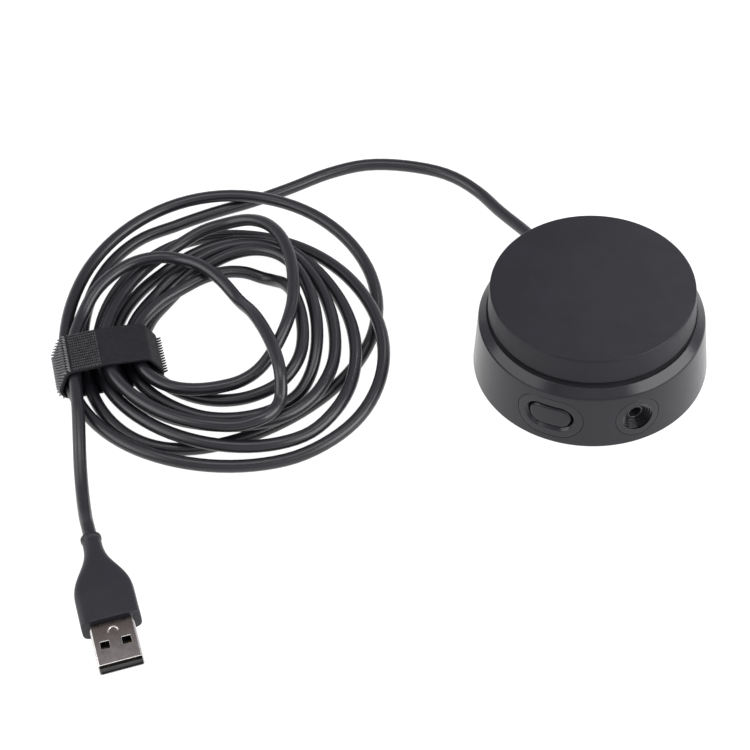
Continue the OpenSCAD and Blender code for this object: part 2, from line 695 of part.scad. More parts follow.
module capacitors() color([0.7, 0.7, 0.72]) for (i = [0, 1])
    translate([capacitor_place[0], capacitor_place[1] + i * capacitor_pitch, board_top])
        cylinder(d = capacitor_d, h = capacitor_h);

module cord_header() color([0.85, 0.84, 0.8]) at_angle(exit_angle)
    translate([-header_w / 2, -header_y, board_top]) cube([header_w, header_l, header_h]);

// Turning sensor

module sensor_case() color([0.1, 0.1, 0.11]) difference() {
    translate([-sensor_w / 2, -sensor_w / 2, board_top]) cube([sensor_w, sensor_w, sensor_h]);
    translate([0, 0, shaft_z - shaft_end_gap])
        cylinder(r = shaft_hole_r, h = shaft_depth + shaft_end_gap + over);
}

module sensor_neck() color([0.7, 0.7, 0.68]) difference() {
    union() {
        translate([-sensor_w / 2, -sensor_w / 2, sensor_top]) cube([sensor_w, sensor_w, sensor_plate_t]);
        translate([0, 0, sensor_top]) cylinder(d = neck_d, h = neck_top - sensor_top);
    }
    translate([0, 0, sensor_top - over]) cylinder(r = shaft_hole_r, h = neck_top - sensor_top + 2 * over);
}

module sensor_washer() color([0.7, 0.7, 0.72]) difference() {
    translate([0, 0, deck_z]) cylinder(d = washer_d, h = washer_t);
    translate([0, 0, deck_z - over]) cylinder(r = neck_hole_r, h = washer_t + 2 * over);
}

module sensor_nut() color([0.7, 0.7, 0.72]) difference() {
    translate([0, 0, nut_z]) cylinder(d = nut_af / cos(30), h = nut_h, $fn = 6);
    translate([0, 0, nut_z - over]) cylinder(r = neck_d / 2 + screw_gap, h = nut_h + 2 * over);
}

module sensor_shaft() color([0.72, 0.72, 0.74]) difference() {
    translate([0, 0, shaft_z]) cylinder(d = shaft_d, h = shaft_top - shaft_z);
    translate([-shaft_d, shaft_d / 2 - shaft_flat, knob_z]) cube([2 * shaft_d, shaft_d, shaft_grip + over]);
}

// Knob

module knob_cap() color([0.16, 0.16, 0.17]) rotate_extrude() polygon(concat(
    [[0, knob_ceiling], [knob_inner(knob_ceiling), knob_ceiling], [knob_inner(knob_z), knob_z],
        [knob_r, knob_z]],
    [for (a = [0:15:90]) [knob_top_r - knob_edge_r * (1 - cos(a)), knob_top - knob_edge_r * (1 - sin(a))]],
    [[0, knob_top]]));

module knob_core() color([0.13, 0.13, 0.14]) difference() {
    union() {
        translate([0, 0, core_z]) cylinder(r = core_r, h = core_t);
        translate([0, 0, knob_z]) cylinder(d = core_sleeve_d, h = knob_ceiling - knob_z);
        for (i = [0:core_ribs - 1]) rotate([0, 0, 360 * i / core_ribs])
            translate([core_sleeve_d / 2 - over, -core_rib_t / 2, core_z + core_t / 2])
                cube([core_r - 2 * over - core_sleeve_d / 2, core_rib_t, knob_ceiling - core_z - core_t / 2]);
    }
    difference() {
        translate([0, 0, knob_z - over])
            cylinder(r = shaft_d / 2 + sleeve_gap, h = shaft_grip + over + sleeve_gap);
        translate([-shaft_d, shaft_d / 2 - shaft_flat + sleeve_gap, knob_z])
            cube([2 * shaft_d, shaft_d, knob_h]);
    }
}

// Button

module button_cap() color([0.2, 0.2, 0.21]) at_angle(button_angle) {
    rings = [
        for (f = [0.5, 1])
            pill_ring(f * (button_w - 2 * button_edge), f * (button_h - 2 * button_edge), button_recess),
        pill_ring(button_w, button_h, button_recess + button_edge),
        flat_pill(button_w, button_h, flange_y)];
    n = len(rings[0]);
    last = (len(rings) - 1) * n;
    middles = [face_point(0, port_z, button_recess), [0, flange_y, port_z]];
    polyhedron(concat([for (r = rings) each r], middles),
        concat(skin(len(rings), n), [for (i = [0:n - 1]) [last + n, (i + 1) % n, i]],
            [for (i = [0:n - 1]) [last + n + 1, last + i, last + (i + 1) % n]]));
    pill_bar(button_w + 2 * button_flange, button_h + 2 * button_flange, flange_y, post_y);
    round_bar(button_post_d, post_y, plunger_y, port_z);
}

module button_frame() color([0.18, 0.18, 0.19]) at_angle(button_angle) {
    rings = [
        pill_ring(frame_w, frame_h, 0),
        pill_ring(frame_w, frame_h, frame_t),
        pill_ring(hole_w, hole_h, frame_t),
        pill_ring(hole_w, hole_h, frame_lip_depth),
        pill_ring(lip_w, lip_h, 0)];
    polyhedron([for (r = rings) each r], skin(len(rings), len(rings[0]), true));
}

module button_switch() color([0.1, 0.1, 0.11]) at_angle(button_angle) difference() {
    translate([-switch_w / 2, switch_y, board_top]) cube([switch_w, switch_l, jack_h]);
    round_bar(plunger_d + 2 * plunger_gap, switch_y - over,
        switch_y + plunger_in + button_travel + plunger_end_gap, port_z);
}

module switch_plunger() color([0.8, 0.78, 0.72]) at_angle(button_angle)
    round_bar(plunger_d, plunger_y, switch_y + plunger_in, port_z);

// Headphone socket

module jack_body() color([0.07, 0.07, 0.08]) at_angle(jack_angle) difference() {
    union() {
        round_bar(jack_nose_d, mouth_y, jack_y + over, port_z);
        translate([-jack_w / 2, jack_y, board_top]) cube([jack_w, jack_bore_l - jack_nose_l, jack_h]);
    }
    round_bar(jack_bore_d, mouth_y - over, mouth_y + jack_bore_l + over, port_z);
}

module jack_tabs() color([0.75, 0.62, 0.35]) at_angle(jack_angle) for (s = [-1, 1], i = [0:1])
    translate([s * (jack_w + tab_t) / 2 - tab_t / 2, tab_pitch * i + tab_w - board_r, board_top])
        cube([tab_t, tab_w, tab_h]);

module jack_insert() color([0.18, 0.18, 0.19]) at_angle(jack_angle) difference() {
    intersection() {
        round_bar(insert_d, -base_r - over, insert_l - port_r, port_z);
        wall_shell(0, base_r / 2);
    }
    round_bar(jack_nose_d + 2 * jack_nose_gap, -base_r - over, 0, port_z);
    for (i = [1:recess_steps]) round_bar(recess_d + (jack_nose_d - recess_d) * (i - 1) / recess_steps,
        -base_r - over, recess_depth * i / recess_steps - port_r, port_z);
}

// Cord

module cord_guard() color([0.13, 0.13, 0.14])
    at_angle(exit_angle) translate([0, 0, exit_z]) rotate([90, 0, 0]) rotate_extrude() polygon([
        [0, guard_inner], [guard_flange_d / 2, guard_inner],
        [guard_flange_d / 2, guard_inner + guard_flange_t], [guard_d / 2, guard_inner + guard_flange_t],
        [guard_d / 2, exit_r], [guard_tip_d / 2, guard_end], [0, guard_end]]);

module cord_inner() color([0.13, 0.13, 0.14]) at_angle(exit_angle)
    round_bar(cord_d, -guard_inner, -cord_inner_end, exit_z);

module cord_wires() color([0.7, 0.2, 0.15]) at_angle(exit_angle) for (i = [-1.5:1:1.5])
    translate([i * wire_pitch, 0, 0]) round_bar(wire_d, -cord_inner_end, -header_y, wire_z);

module cord_lead() color([0.14, 0.14, 0.15]) cord_tube(lead_points(), tube_sides);

module cord_coil() color([0.14, 0.14, 0.15]) {
    p = coil_points();
    echo(coil_least_gap = own_gap(p, own_rings - climb, 3 * strap_w), coil_length = path_length(p));
    echo(coil_top = max([for (q = p) q[2]]) + cord_r);
    cord_tube(p, coil_sides);
}

module cord_tail() color([0.14, 0.14, 0.15]) cord_tube(tail_points(), tube_sides);

// Places where the coil passes the edges and the middle of the strap, across it and up
function held_places() = let (c = [for (p = coil_points()) to_strap(p)])
    [for (i = [1:len(c) - 1], side = [-1, 0, 1])
        let (a = c[i - 1], b = c[i], v = side * strap_w / 2)
        if (abs(a[0]) < strap_reach && (a[1] - v) * (b[1] - v) < 0)
            let (p = a + (b - a) * (v - a[1]) / (b[1] - a[1])) [p[0], max(p[2], strap_rest)]];
// The outline of a band pulled tight round those places
module tight_round(places, r) hull() for (p = places) translate(p) circle(r = r, $fn = strap_facets);

module cord_strap() color([0.08, 0.08, 0.09])
    translate([strap_place[0], strap_place[1], 0]) rotate([0, 0, strap_angle])
    translate([0, strap_w / 2, 0]) rotate([90, 0, 0]) linear_extrude(strap_w) {
        places = held_places();
        difference() {
            tight_round(places, cord_r + strap_gap + strap_t);
            tight_round(places, cord_r + strap_gap);
        }
    }

// Plug

module at_plug() translate([plug_place[0], plug_place[1], plug_z]) rotate([0, 0, plug_angle]) children();

// Half width and half thickness of the grip, and how square its section is, at a distance from the cord end
function grip_share(x) = ease(clamp((x - grip_neck_l) / grip_flare_l));
function grip_half(x, full) = grip_neck_d / 2 + (full - grip_neck_d) / 2 * grip_share(x);
function grip_power(x) = 1 / (1 + grip_square * grip_share(x));
function grip_ring(x, w, h, power) = [for (i = [0:grip_steps - 1]) let (a = 360 * (i + 0.5) / grip_steps)
    [x, w * sign(cos(a)) * pow(abs(cos(a)), power), h * sign(sin(a)) * pow(abs(sin(a)), power)]];
function grip_collar(x) = grip_ring(x, grip_collar_d / 2, grip_collar_d / 2, 1);
function grip_section(x, less) =
    grip_ring(x, grip_half(x, grip_w) - less, grip_half(x, grip_t) - less, grip_power(x));

module plug_grip() color([0.15, 0.15, 0.16]) at_plug() difference() {
    rings = [grip_collar(0), grip_collar(grip_collar_l), grip_section(grip_collar_l + grip_edge, 0),
        for (i = [0:grip_sections]) grip_section(grip_neck_l + grip_flare_l * i / grip_sections, 0),
        grip_section(grip_l - grip_edge, 0), grip_section(grip_l, grip_edge)];
    polyhedron([for (r = rings) each r],
        concat(skin_ends(len(rings), grip_steps), skin(len(rings), grip_steps)));
    shell_bar(shell_start, grip_l + over, -shell_gap);
}

// A bar with the shell's section, some way inside its outer face, between two distances from the cord
module shell_bar(x0, x1, inside) translate([x0, 0, 0]) rotate([90, 0, 90]) linear_extrude(x1 - x0)
    round_box(shell_w - 2 * inside, shell_h - 2 * inside, shell_corner_r - inside);
// The half-round cut that frees the spring tab, with its crown towards the grip
module spring_tab_cut() translate([grip_l + spring_x + spring_w / 2 + spring_cut, 0, -shell_h]) difference() {
    cylinder(d = spring_w + 2 * spring_cut, h = 2 * shell_h);
    translate([0, 0, -over]) cylinder(d = spring_w, h = 2 * shell_h + 2 * over);
    translate([0, -shell_w / 2, -over]) cube([shell_w, shell_w, 2 * shell_h + 2 * over]);
}

module plug_shell() color([0.6, 0.57, 0.54]) at_plug() difference() {
    shell_bar(shell_start, shell_end, 0);
    shell_bar(shell_start - over, shell_end + over, shell_t);
    spring_tab_cut();
    for (s = [-1, 1])
        translate([shell_end - window_x - window_w / 2, s * window_pitch / 2 - window_w / 2, -shell_h])
            cube([window_w, window_w, 2 * shell_h]);
}

module plug_bar() color([0.08, 0.08, 0.08]) at_plug() {
    intersection() {
        shell_bar(shell_start + shell_gap, shell_end - bar_back, shell_t + shell_gap);
        translate([shell_start, -shell_w / 2, bar_top - bar_t])
            cube([shell_end - shell_start, shell_w, bar_t]);
    }
    shell_bar(shell_start + shell_gap, shell_start + shell_gap + block_l, shell_t + shell_gap);
}

module plug_contacts() color([0.8, 0.66, 0.36]) at_plug() for (s = [-1, 1]) {
    translate([shell_end - 2 * bar_back - contact_l, s * contact_outer - contact_w / 2, bar_top])
        cube([contact_l, contact_w, contact_t]);
    translate([shell_end - 2 * bar_back - contact_l, s * contact_inner - contact_w / 2, bar_top])
        cube([contact_l - contact_short, contact_w, contact_t]);
}

base_housing();
bottom_cover();
rubber_foot();
cover_screws();
circuit_board();
board_screws();
sound_chip();
capacitors();
cord_header();
sensor_case();
sensor_neck();
sensor_washer();
sensor_nut();
sensor_shaft();
knob_cap();
knob_core();
button_cap();
button_frame();
button_switch();
switch_plunger();
jack_body();
jack_tabs();
jack_insert();
cord_guard();
cord_inner();
cord_wires();
cord_lead();
cord_coil();
cord_tail();
cord_strap();
plug_grip();
plug_shell();
plug_bar();
plug_contacts();
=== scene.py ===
import json
from math import atan2, copysign, cos, hypot, pi, radians, sin, sqrt

import bmesh
import bpy
import numpy as np
from mathutils import Matrix, Vector


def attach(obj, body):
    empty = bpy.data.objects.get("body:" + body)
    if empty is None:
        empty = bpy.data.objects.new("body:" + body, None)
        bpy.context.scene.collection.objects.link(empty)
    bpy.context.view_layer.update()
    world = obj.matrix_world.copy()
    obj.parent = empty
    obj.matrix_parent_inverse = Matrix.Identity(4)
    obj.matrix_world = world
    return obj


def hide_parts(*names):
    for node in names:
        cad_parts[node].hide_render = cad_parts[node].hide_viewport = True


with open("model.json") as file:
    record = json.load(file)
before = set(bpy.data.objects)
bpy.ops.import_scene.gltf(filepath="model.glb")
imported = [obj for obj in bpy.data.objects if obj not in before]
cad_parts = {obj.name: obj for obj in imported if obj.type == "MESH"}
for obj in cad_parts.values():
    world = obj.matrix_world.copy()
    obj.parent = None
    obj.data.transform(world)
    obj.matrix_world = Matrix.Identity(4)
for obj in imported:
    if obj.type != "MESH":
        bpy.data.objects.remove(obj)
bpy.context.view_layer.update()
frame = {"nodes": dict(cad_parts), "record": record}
MM = 0.001

# Camera

CAMERA_TURN = radians(5.65)
CAMERA_RISE = radians(47.83)
CAMERA_ROLL = radians(-4.13)
CAMERA_DISTANCE = 588.1 * MM
CAMERA_AIM = Vector((-63.08, -6.52, 0)) * MM
SENSOR_W, LENS, NEAREST = 36.0, 95.73, 0.01


def make_camera():
    level = cos(CAMERA_RISE)
    ahead = Vector((-sin(CAMERA_TURN) * level, cos(CAMERA_TURN) * level, -sin(CAMERA_RISE)))
    right = Vector((cos(CAMERA_TURN), sin(CAMERA_TURN), 0))
    up = right.cross(ahead)
    across = right * cos(CAMERA_ROLL) + up * sin(CAMERA_ROLL)
    upright = up * cos(CAMERA_ROLL) - right * sin(CAMERA_ROLL)
    data = bpy.data.cameras.new("camera")
    data.sensor_width = SENSOR_W
    data.lens = LENS
    data.clip_start = NEAREST
    camera = bpy.data.objects.new("camera", data)
    bpy.context.scene.collection.objects.link(camera)
    turn = Matrix((across, upright, -ahead)).transposed().to_4x4()
    camera.matrix_world = Matrix.Translation(CAMERA_AIM - CAMERA_DISTANCE * ahead) @ turn
    bpy.context.scene.camera = camera


make_camera()

# Cord: the route of the source, in millimetres until the curve is made

CORD_D = 3.8
CORD_R = CORD_D / 2
LAY_GAP = 0.55
STRAP_PLACE = np.array((-143.0, -6.0))
STRAP_TURN = radians(16)
STRAP_U = np.array((cos(STRAP_TURN), sin(STRAP_TURN)))
STRAP_V = np.array((-sin(STRAP_TURN), cos(STRAP_TURN)))
STRAP_W, STRAP_T, STRAP_GAP = 15.0, 1.2, 0.3
STRAP_REACH, STRAP_MARGIN = 16.0, 1.0
SLOT_PITCH, MIDDLE_SLOT = 4.4, 2
LOOP_RINGS, FIRST_RINGS, LAST_RINGS, LAST_STEP = 24, 6, 4, (0.25, 4.0)
# Rings of a climb, own rings that don't count as laid, tests on each span, rings that start clear of the lead
CLIMB, OWN_RINGS, TESTS, FREE_RINGS = 4, 14, 4, 16
PATH_STEPS = 4
# The low, far and high place of each loop, seen from the strap
LOOPS = (
    ((28, -38), (84, 5), (38, 61)),
    ((39, -49), (81.5, -9), (36, 47)),
    ((45, -45), (73, 3), (38, 40)),
    ((43, -37), (68.5, 2), (40, 35)),
    ((42, -31), (64, 2), (41, 30)),
    ((42, -25), (59.5, 3), (42, 25)),
    ((34, -20.5), (60, 10), (41, 44)),
    ((29, -39), (47.5, -11), (26, 33)),
)
# The place in the strap where each loop starts, and where the last one ends
SLOTS = (0.6, -0.6, 1.6, 2.6, 3.6, 4.6, 4.1, 2.1, 0)
FIRST_ARC = ((30, -40), (80, 4), (30, 55))
LEAD_PATH = ((-19, 49, 5.4), (-26.5, 60, 3.2), (-34, 71, CORD_R), (-44, 79, CORD_R), (-57, 83, CORD_R),
             (-70, 83.5, CORD_R), (-82, 79.5, CORD_R), (-94, 72.5, CORD_R), (-105.5, 66.5, CORD_R),
             (-117, 61.5, CORD_R))
TAIL_PATH = ((-146, -36, 6.8), (-144.8, -45, 4), (-143.2, -53.5, 2.4), (-141.2, -61.5, 2.7))
EXIT_TURN = radians(200)
EXIT_DIR = np.array((sin(EXIT_TURN), -cos(EXIT_TURN), 0))
GUARD_END, EXIT_Z = 41.613, 7.0
PLUG_TURN = radians(-71.3)
PLUG_DIR = np.array((cos(PLUG_TURN), sin(PLUG_TURN), 0))
PLUG_PLACE = np.array((-138.2, -70.5, 4.0))


def ease(share):
    """A share from 0 to 1 that starts and ends softly."""
    return share ** 3 * (share * (6 * share - 15) + 10)


def on_floor(q):
    """Places on the floor of points that are seen from the strap."""
    return STRAP_PLACE + np.outer(q[:, 0], STRAP_U) + np.outer(q[:, 1], STRAP_V)


def seen_from_strap(line):
    """How far the points of a line lie across and along the held cords, from the middle of the strap."""
    away = line[:, :2] - STRAP_PLACE
    return away @ STRAP_U, away @ STRAP_V


def held(across, along):
    """Which points lie inside the strap."""
    return (abs(along) < STRAP_W / 2 + STRAP_MARGIN) & (abs(across) < STRAP_REACH)


def loop_points(turns, places, start, end):
    """Points of one loop, seen from the strap, at turns from 0 (leaving it) to 2 pi (back again)."""
    t = np.asarray(turns)[:, None]
    side = np.array((1.0, 0.0))
    slot = (start + (end - start) * ease(t / (2 * pi)) - MIDDLE_SLOT) * SLOT_PITCH * side
    middle = ((start + end) / 2 - MIDDLE_SLOT) * SLOT_PITCH * side
    low, far, high = (np.array(p, float) - middle for p in places)
    lean = (low - high) / 2
    twist = (np.array((0, -hypot(*lean))) - lean) / 2
    return (slot + (low + far + high) / 4 - np.cos(t) * far / 2 + np.sin(t) * lean
            + np.cos(2 * t) * (far - low - high) / 4 + np.sin(2 * t) * twist)


def coil_plan():
    """The coil from above: the end of a first arc, the loops, and the way out of the strap."""
    step = 2 * pi / LOOP_RINGS
    rows = [loop_points(2 * pi + step * np.arange(-FIRST_RINGS, 0), FIRST_ARC, SLOTS[0], SLOTS[0])]
    for k, places in enumerate(LOOPS):
        rows.append(loop_points(step * np.arange(LOOP_RINGS), places, SLOTS[k], SLOTS[k + 1]))
    out = loop_points([2 * pi], LOOPS[-1], SLOTS[-2], SLOTS[-1])[0]
    rows.append(np.array([out - i * np.array(LAST_STEP) for i in range(LAST_RINGS + 1)]))
    return np.vstack(rows)


def pass_over(p, line, heights):
    """Height that a cord needs at p to pass over the laid line."""
    a, d = line[:-1], np.diff(line, axis=0)
    t = np.clip(((p - a) * d).sum(1) / (d * d).sum(1), 0, 1)
    h = np.linalg.norm(p - a - t[:, None] * d, axis=1)
    z = heights[:-1] + t * np.diff(heights)
    reach = CORD_D + LAY_GAP
    near = h < reach
    return (z[near] + np.sqrt(reach ** 2 - h[near] ** 2)).max() if near.any() else 0.0


def settle(q, lead):
    """Heights of the coil's rings, each resting on what was laid before it."""
    n = len(q)
    rest = CORD_R + np.where(held(q[:, 0], q[:, 1]), STRAP_T + STRAP_GAP, 0.0)
    z = np.zeros(n)
    needs = []
    for i in range(n):
        while len(needs) < min(n, i + CLIMB + 1):
            j = len(needs)
            need = rest[j]
            for s in range(1 - TESTS, TESTS):
                k, f = (j - 1, 1 + s / TESTS) if s < 0 else (j, s / TESTS)
                if k < 0 or k + 1 >= n:
                    continue
                p = q[k] * (1 - f) + q[k + 1] * f
                laid = j - OWN_RINGS
                if laid > 1:
                    need = max(need, pass_over(p, q[:laid], z[:laid]))
                if j > FREE_RINGS:
                    need = max(need, pass_over(p, lead[:, :2], lead[:, 2]))
            needs.append(need)
        window = np.arange(max(0, i - CLIMB), min(n, i + CLIMB + 1))
        bump = np.cos(pi / 2 * (window - i) / (CLIMB + 1)) ** 2
        z[i] = (CORD_R + (np.array(needs)[window] - CORD_R) * bump).max()
    return z


def smooth_path(points):
    """A smooth line through points, with its first and last spans straight."""
    p = np.asarray(points, float)
    t = (np.arange(PATH_STEPS) / PATH_STEPS)[:, None]
    rows = [p[:1]]
    for i in range(1, len(p) - 2):
        a, b, c, d = p[i - 1:i + 3]
        bend, twist = 2 * a - 5 * b + 4 * c - d, 3 * b - 3 * c + d - a
        rows.append(0.5 * (2 * b + (c - a) * t + bend * t ** 2 + twist * t ** 3))
    rows.append(p[-2:])
    line = np.vstack(rows)
    line[:, 2] = np.maximum(line[:, 2], CORD_R)
    return line


def cord_route():
    """The whole cord, from the guard through the coil to the plug."""
    plan = coil_plan()
    lead_mid = np.array(LEAD_PATH, float)
    heights = settle(plan, np.column_stack((*seen_from_strap(lead_mid), lead_mid[:, 2])))
    coil = np.column_stack((on_floor(plan), heights))
    first = np.append(coil[0, :2], CORD_R)
    ahead = (coil[1] - coil[0]) * (1, 1, 0)
    ahead /= np.linalg.norm(ahead)
    guard_tip = GUARD_END * EXIT_DIR + (0, 0, EXIT_Z)
    lead = np.vstack((guard_tip, guard_tip + CORD_D * EXIT_DIR, lead_mid, first - CORD_D * ahead))
    down = coil[-1] - coil[-2]
    down /= np.linalg.norm(down)
    tail = np.vstack((coil[-1] + CORD_D * down, TAIL_PATH, PLUG_PLACE - CORD_D * PLUG_DIR, PLUG_PLACE))
    return smooth_path(np.vstack((lead, coil, tail)))


def make_cord(route):
    """A curve along the route. Its points carry the thickness."""
    data = bpy.data.curves.new("cord", "CURVE")
    data.dimensions = "3D"
    data.bevel_depth = 1.0
    data.bevel_resolution = 5
    data.use_fill_caps = True
    spline = data.splines.new("POLY")
    spline.points.add(len(route) - 1)
    for point, place in zip(spline.points, route):
        point.co = (*(place * MM), 1)
        point.radius = CORD_R * MM
    spline.use_smooth = True
    cord = bpy.data.objects.new("cord", data)
    bpy.context.scene.collection.objects.link(cord)
    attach(cord, "base")
    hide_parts("cord_lead", "cord_coil", "cord_tail")
    return cord


route = cord_route()
cord = make_cord(route)

# Modelling steps that many pieces share

SMOOTH_ANGLE, SHARP_ANGLE = radians(32), radians(50)
SAME_SPOT, NEAR, FRONT = 0.001 * MM, 0.01 * MM, 0.5 * MM
FOLD, FACING = 0.5, 0.9
MANY_STEPS, FEW_STEPS, CORNER_SEGMENTS = 224, 64, 6


def begin(name, add, scale=(1, 1, 1), **kind):
    """A new primitive in edit mode, with its place in its mesh and nothing else selected."""
    if bpy.context.mode != "OBJECT":
        bpy.ops.object.mode_set(mode="OBJECT")
    bpy.ops.object.select_all(action="DESELECT")
    add(**kind)
    piece = bpy.context.object
    piece.name = piece.data.name = name
    piece.scale = scale
    bpy.ops.object.transform_apply(location=True, rotation=True, scale=True)
    bpy.ops.object.mode_set(mode="EDIT")
    return piece


def pick(piece, kind, wanted):
    """Selects, in edit mode, the corners, edges or faces that are wanted."""
    bpy.ops.mesh.select_mode(type=kind)
    bpy.ops.mesh.select_all(action="DESELECT")
    mesh = bmesh.from_edit_mesh(piece.data)
    for part in {"VERT": mesh.verts, "EDGE": mesh.edges, "FACE": mesh.faces}[kind]:
        if wanted(part):
            part.select_set(True)
    mesh.select_flush_mode()
    bmesh.update_edit_mesh(piece.data)


def runs_along(axis):
    """A test for edges that run along an axis for more than a millimetre."""
    return lambda e: abs(e.verts[0].co[axis] - e.verts[1].co[axis]) > MM


def extrude(x, y, z):
    """Extrudes what is selected by a step in millimetres."""
    bpy.ops.mesh.extrude_region_move(TRANSFORM_OT_translate={"value": (x * MM, y * MM, z * MM)})


def bevel(size, segments, kind="EDGES"):
    """Rounds the selected edges or corners."""
    bpy.ops.mesh.bevel(offset=size * MM, segments=segments, affect=kind)


def merge_doubles():
    bpy.ops.mesh.select_all(action="SELECT")
    bpy.ops.mesh.remove_doubles(threshold=SAME_SPOT)


def close_up():
    """Merges doubles and turns all faces outwards."""
    bpy.ops.mesh.select_mode(type="VERT")
    merge_doubles()
    bpy.ops.mesh.normals_make_consistent(inside=False)


def leave(piece):
    """Back to object mode with only this piece selected."""
    if bpy.context.mode != "OBJECT":
        bpy.ops.object.mode_set(mode="OBJECT")
    bpy.ops.object.select_all(action="DESELECT")
    piece.select_set(True)
    bpy.context.view_layer.objects.active = piece


def apply_modifier(piece, kind, **settings):
    leave(piece)
    modifier = piece.modifiers.new(kind.lower(), kind)
    for key, value in settings.items():
        setattr(modifier, key, value)
    bpy.ops.object.modifier_apply(modifier=modifier.name)


def ease_edges(piece, width, **settings):
    """Rounds all sharp edges of a piece."""
    apply_modifier(piece, "BEVEL", width=width * MM, segments=2, limit_method="ANGLE",
                   angle_limit=SHARP_ANGLE, **settings)


def repeat(piece, count, x, y):
    """Copies a piece in a row, each a step in millimetres farther."""
    apply_modifier(piece, "ARRAY", count=count, use_relative_offset=False, use_constant_offset=True,
                   constant_offset_displace=(x * MM, y * MM, 0))


def cut(piece, cutter):
    apply_modifier(piece, "BOOLEAN", operation="DIFFERENCE", solver="EXACT", object=cutter)
    bpy.data.objects.remove(cutter)


def place(piece, matrix):
    leave(piece)
    piece.matrix_world = matrix
    bpy.ops.object.transform_apply(location=True, rotation=True, scale=True)


def join(piece, others):
    leave(piece)
    for other in others:
        other.select_set(True)
    bpy.ops.object.join()


def give(piece, *finishes):
    for finish in finishes:
        piece.data.materials.append(materials[finish])


def finish_piece(piece, body, slot, *nodes):
    """Smooth shading, a finish where it has none yet, its body, and the nodes that it stands for."""
    leave(piece)
    bpy.ops.object.shade_smooth_by_angle(angle=SMOOTH_ANGLE)
    apply_modifier(piece, "WEIGHTED_NORMAL", keep_sharp=True)
    if not piece.data.materials:
        give(piece, slot)
    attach(piece, body)
    if nodes:
        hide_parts(*nodes)
    return piece


def spun(name, corners, steps):
    """A turned piece: corners (radius, height and any rounding) are drawn in turn and spun about Z."""
    piece = begin(name, bpy.ops.mesh.primitive_plane_add, size=MM)
    bpy.ops.mesh.merge(type="CENTER")
    bpy.ops.transform.translate(value=(corners[0][0] * MM, 0, corners[0][1] * MM))
    for (r0, z0, *_), (r1, z1, *_) in zip(corners, corners[1:]):
        extrude(r1 - r0, 0, z1 - z0)
    merge_doubles()
    for r, z, *rounding in corners:
        if rounding:
            spot = Vector((r, 0, z)) * MM
            pick(piece, "VERT", lambda v: (v.co - spot).length < 2 * SAME_SPOT)
            bevel(rounding[0], CORNER_SEGMENTS, "VERTICES")
    bpy.ops.mesh.select_all(action="SELECT")
    bpy.ops.mesh.spin(steps=steps, angle=2 * pi, center=(0, 0, 0), axis=(0, 0, 1))
    close_up()
    return piece


def aim_out(piece, turn, height):
    """Turns a piece made upright so that its axis points out of the base at a turn from the front."""
    lift = Matrix.Translation((0, 0, height * MM))
    place(piece, Matrix.Rotation(turn, 4, "Z") @ lift @ Matrix.Rotation(pi / 2, 4, "X"))


# Materials

NOISE_ROUGHNESS, NOISE_LOW, NOISE_HIGH = 0.6, 0.3, 0.7
BLOTCH_DETAIL, GRAIN_DETAIL, SMUDGES_PER_BLOTCH = 4.0, 2.0, 2.7
MOULDED = ((0.0075, 0.0075, 0.0105), (0.0105, 0.0105, 0.0145), (0.20, 0.26), 0.25, 0.004, 9, 0)
NYLON = ((0.24, 0.34), 0.2, 0.006, 1.5)
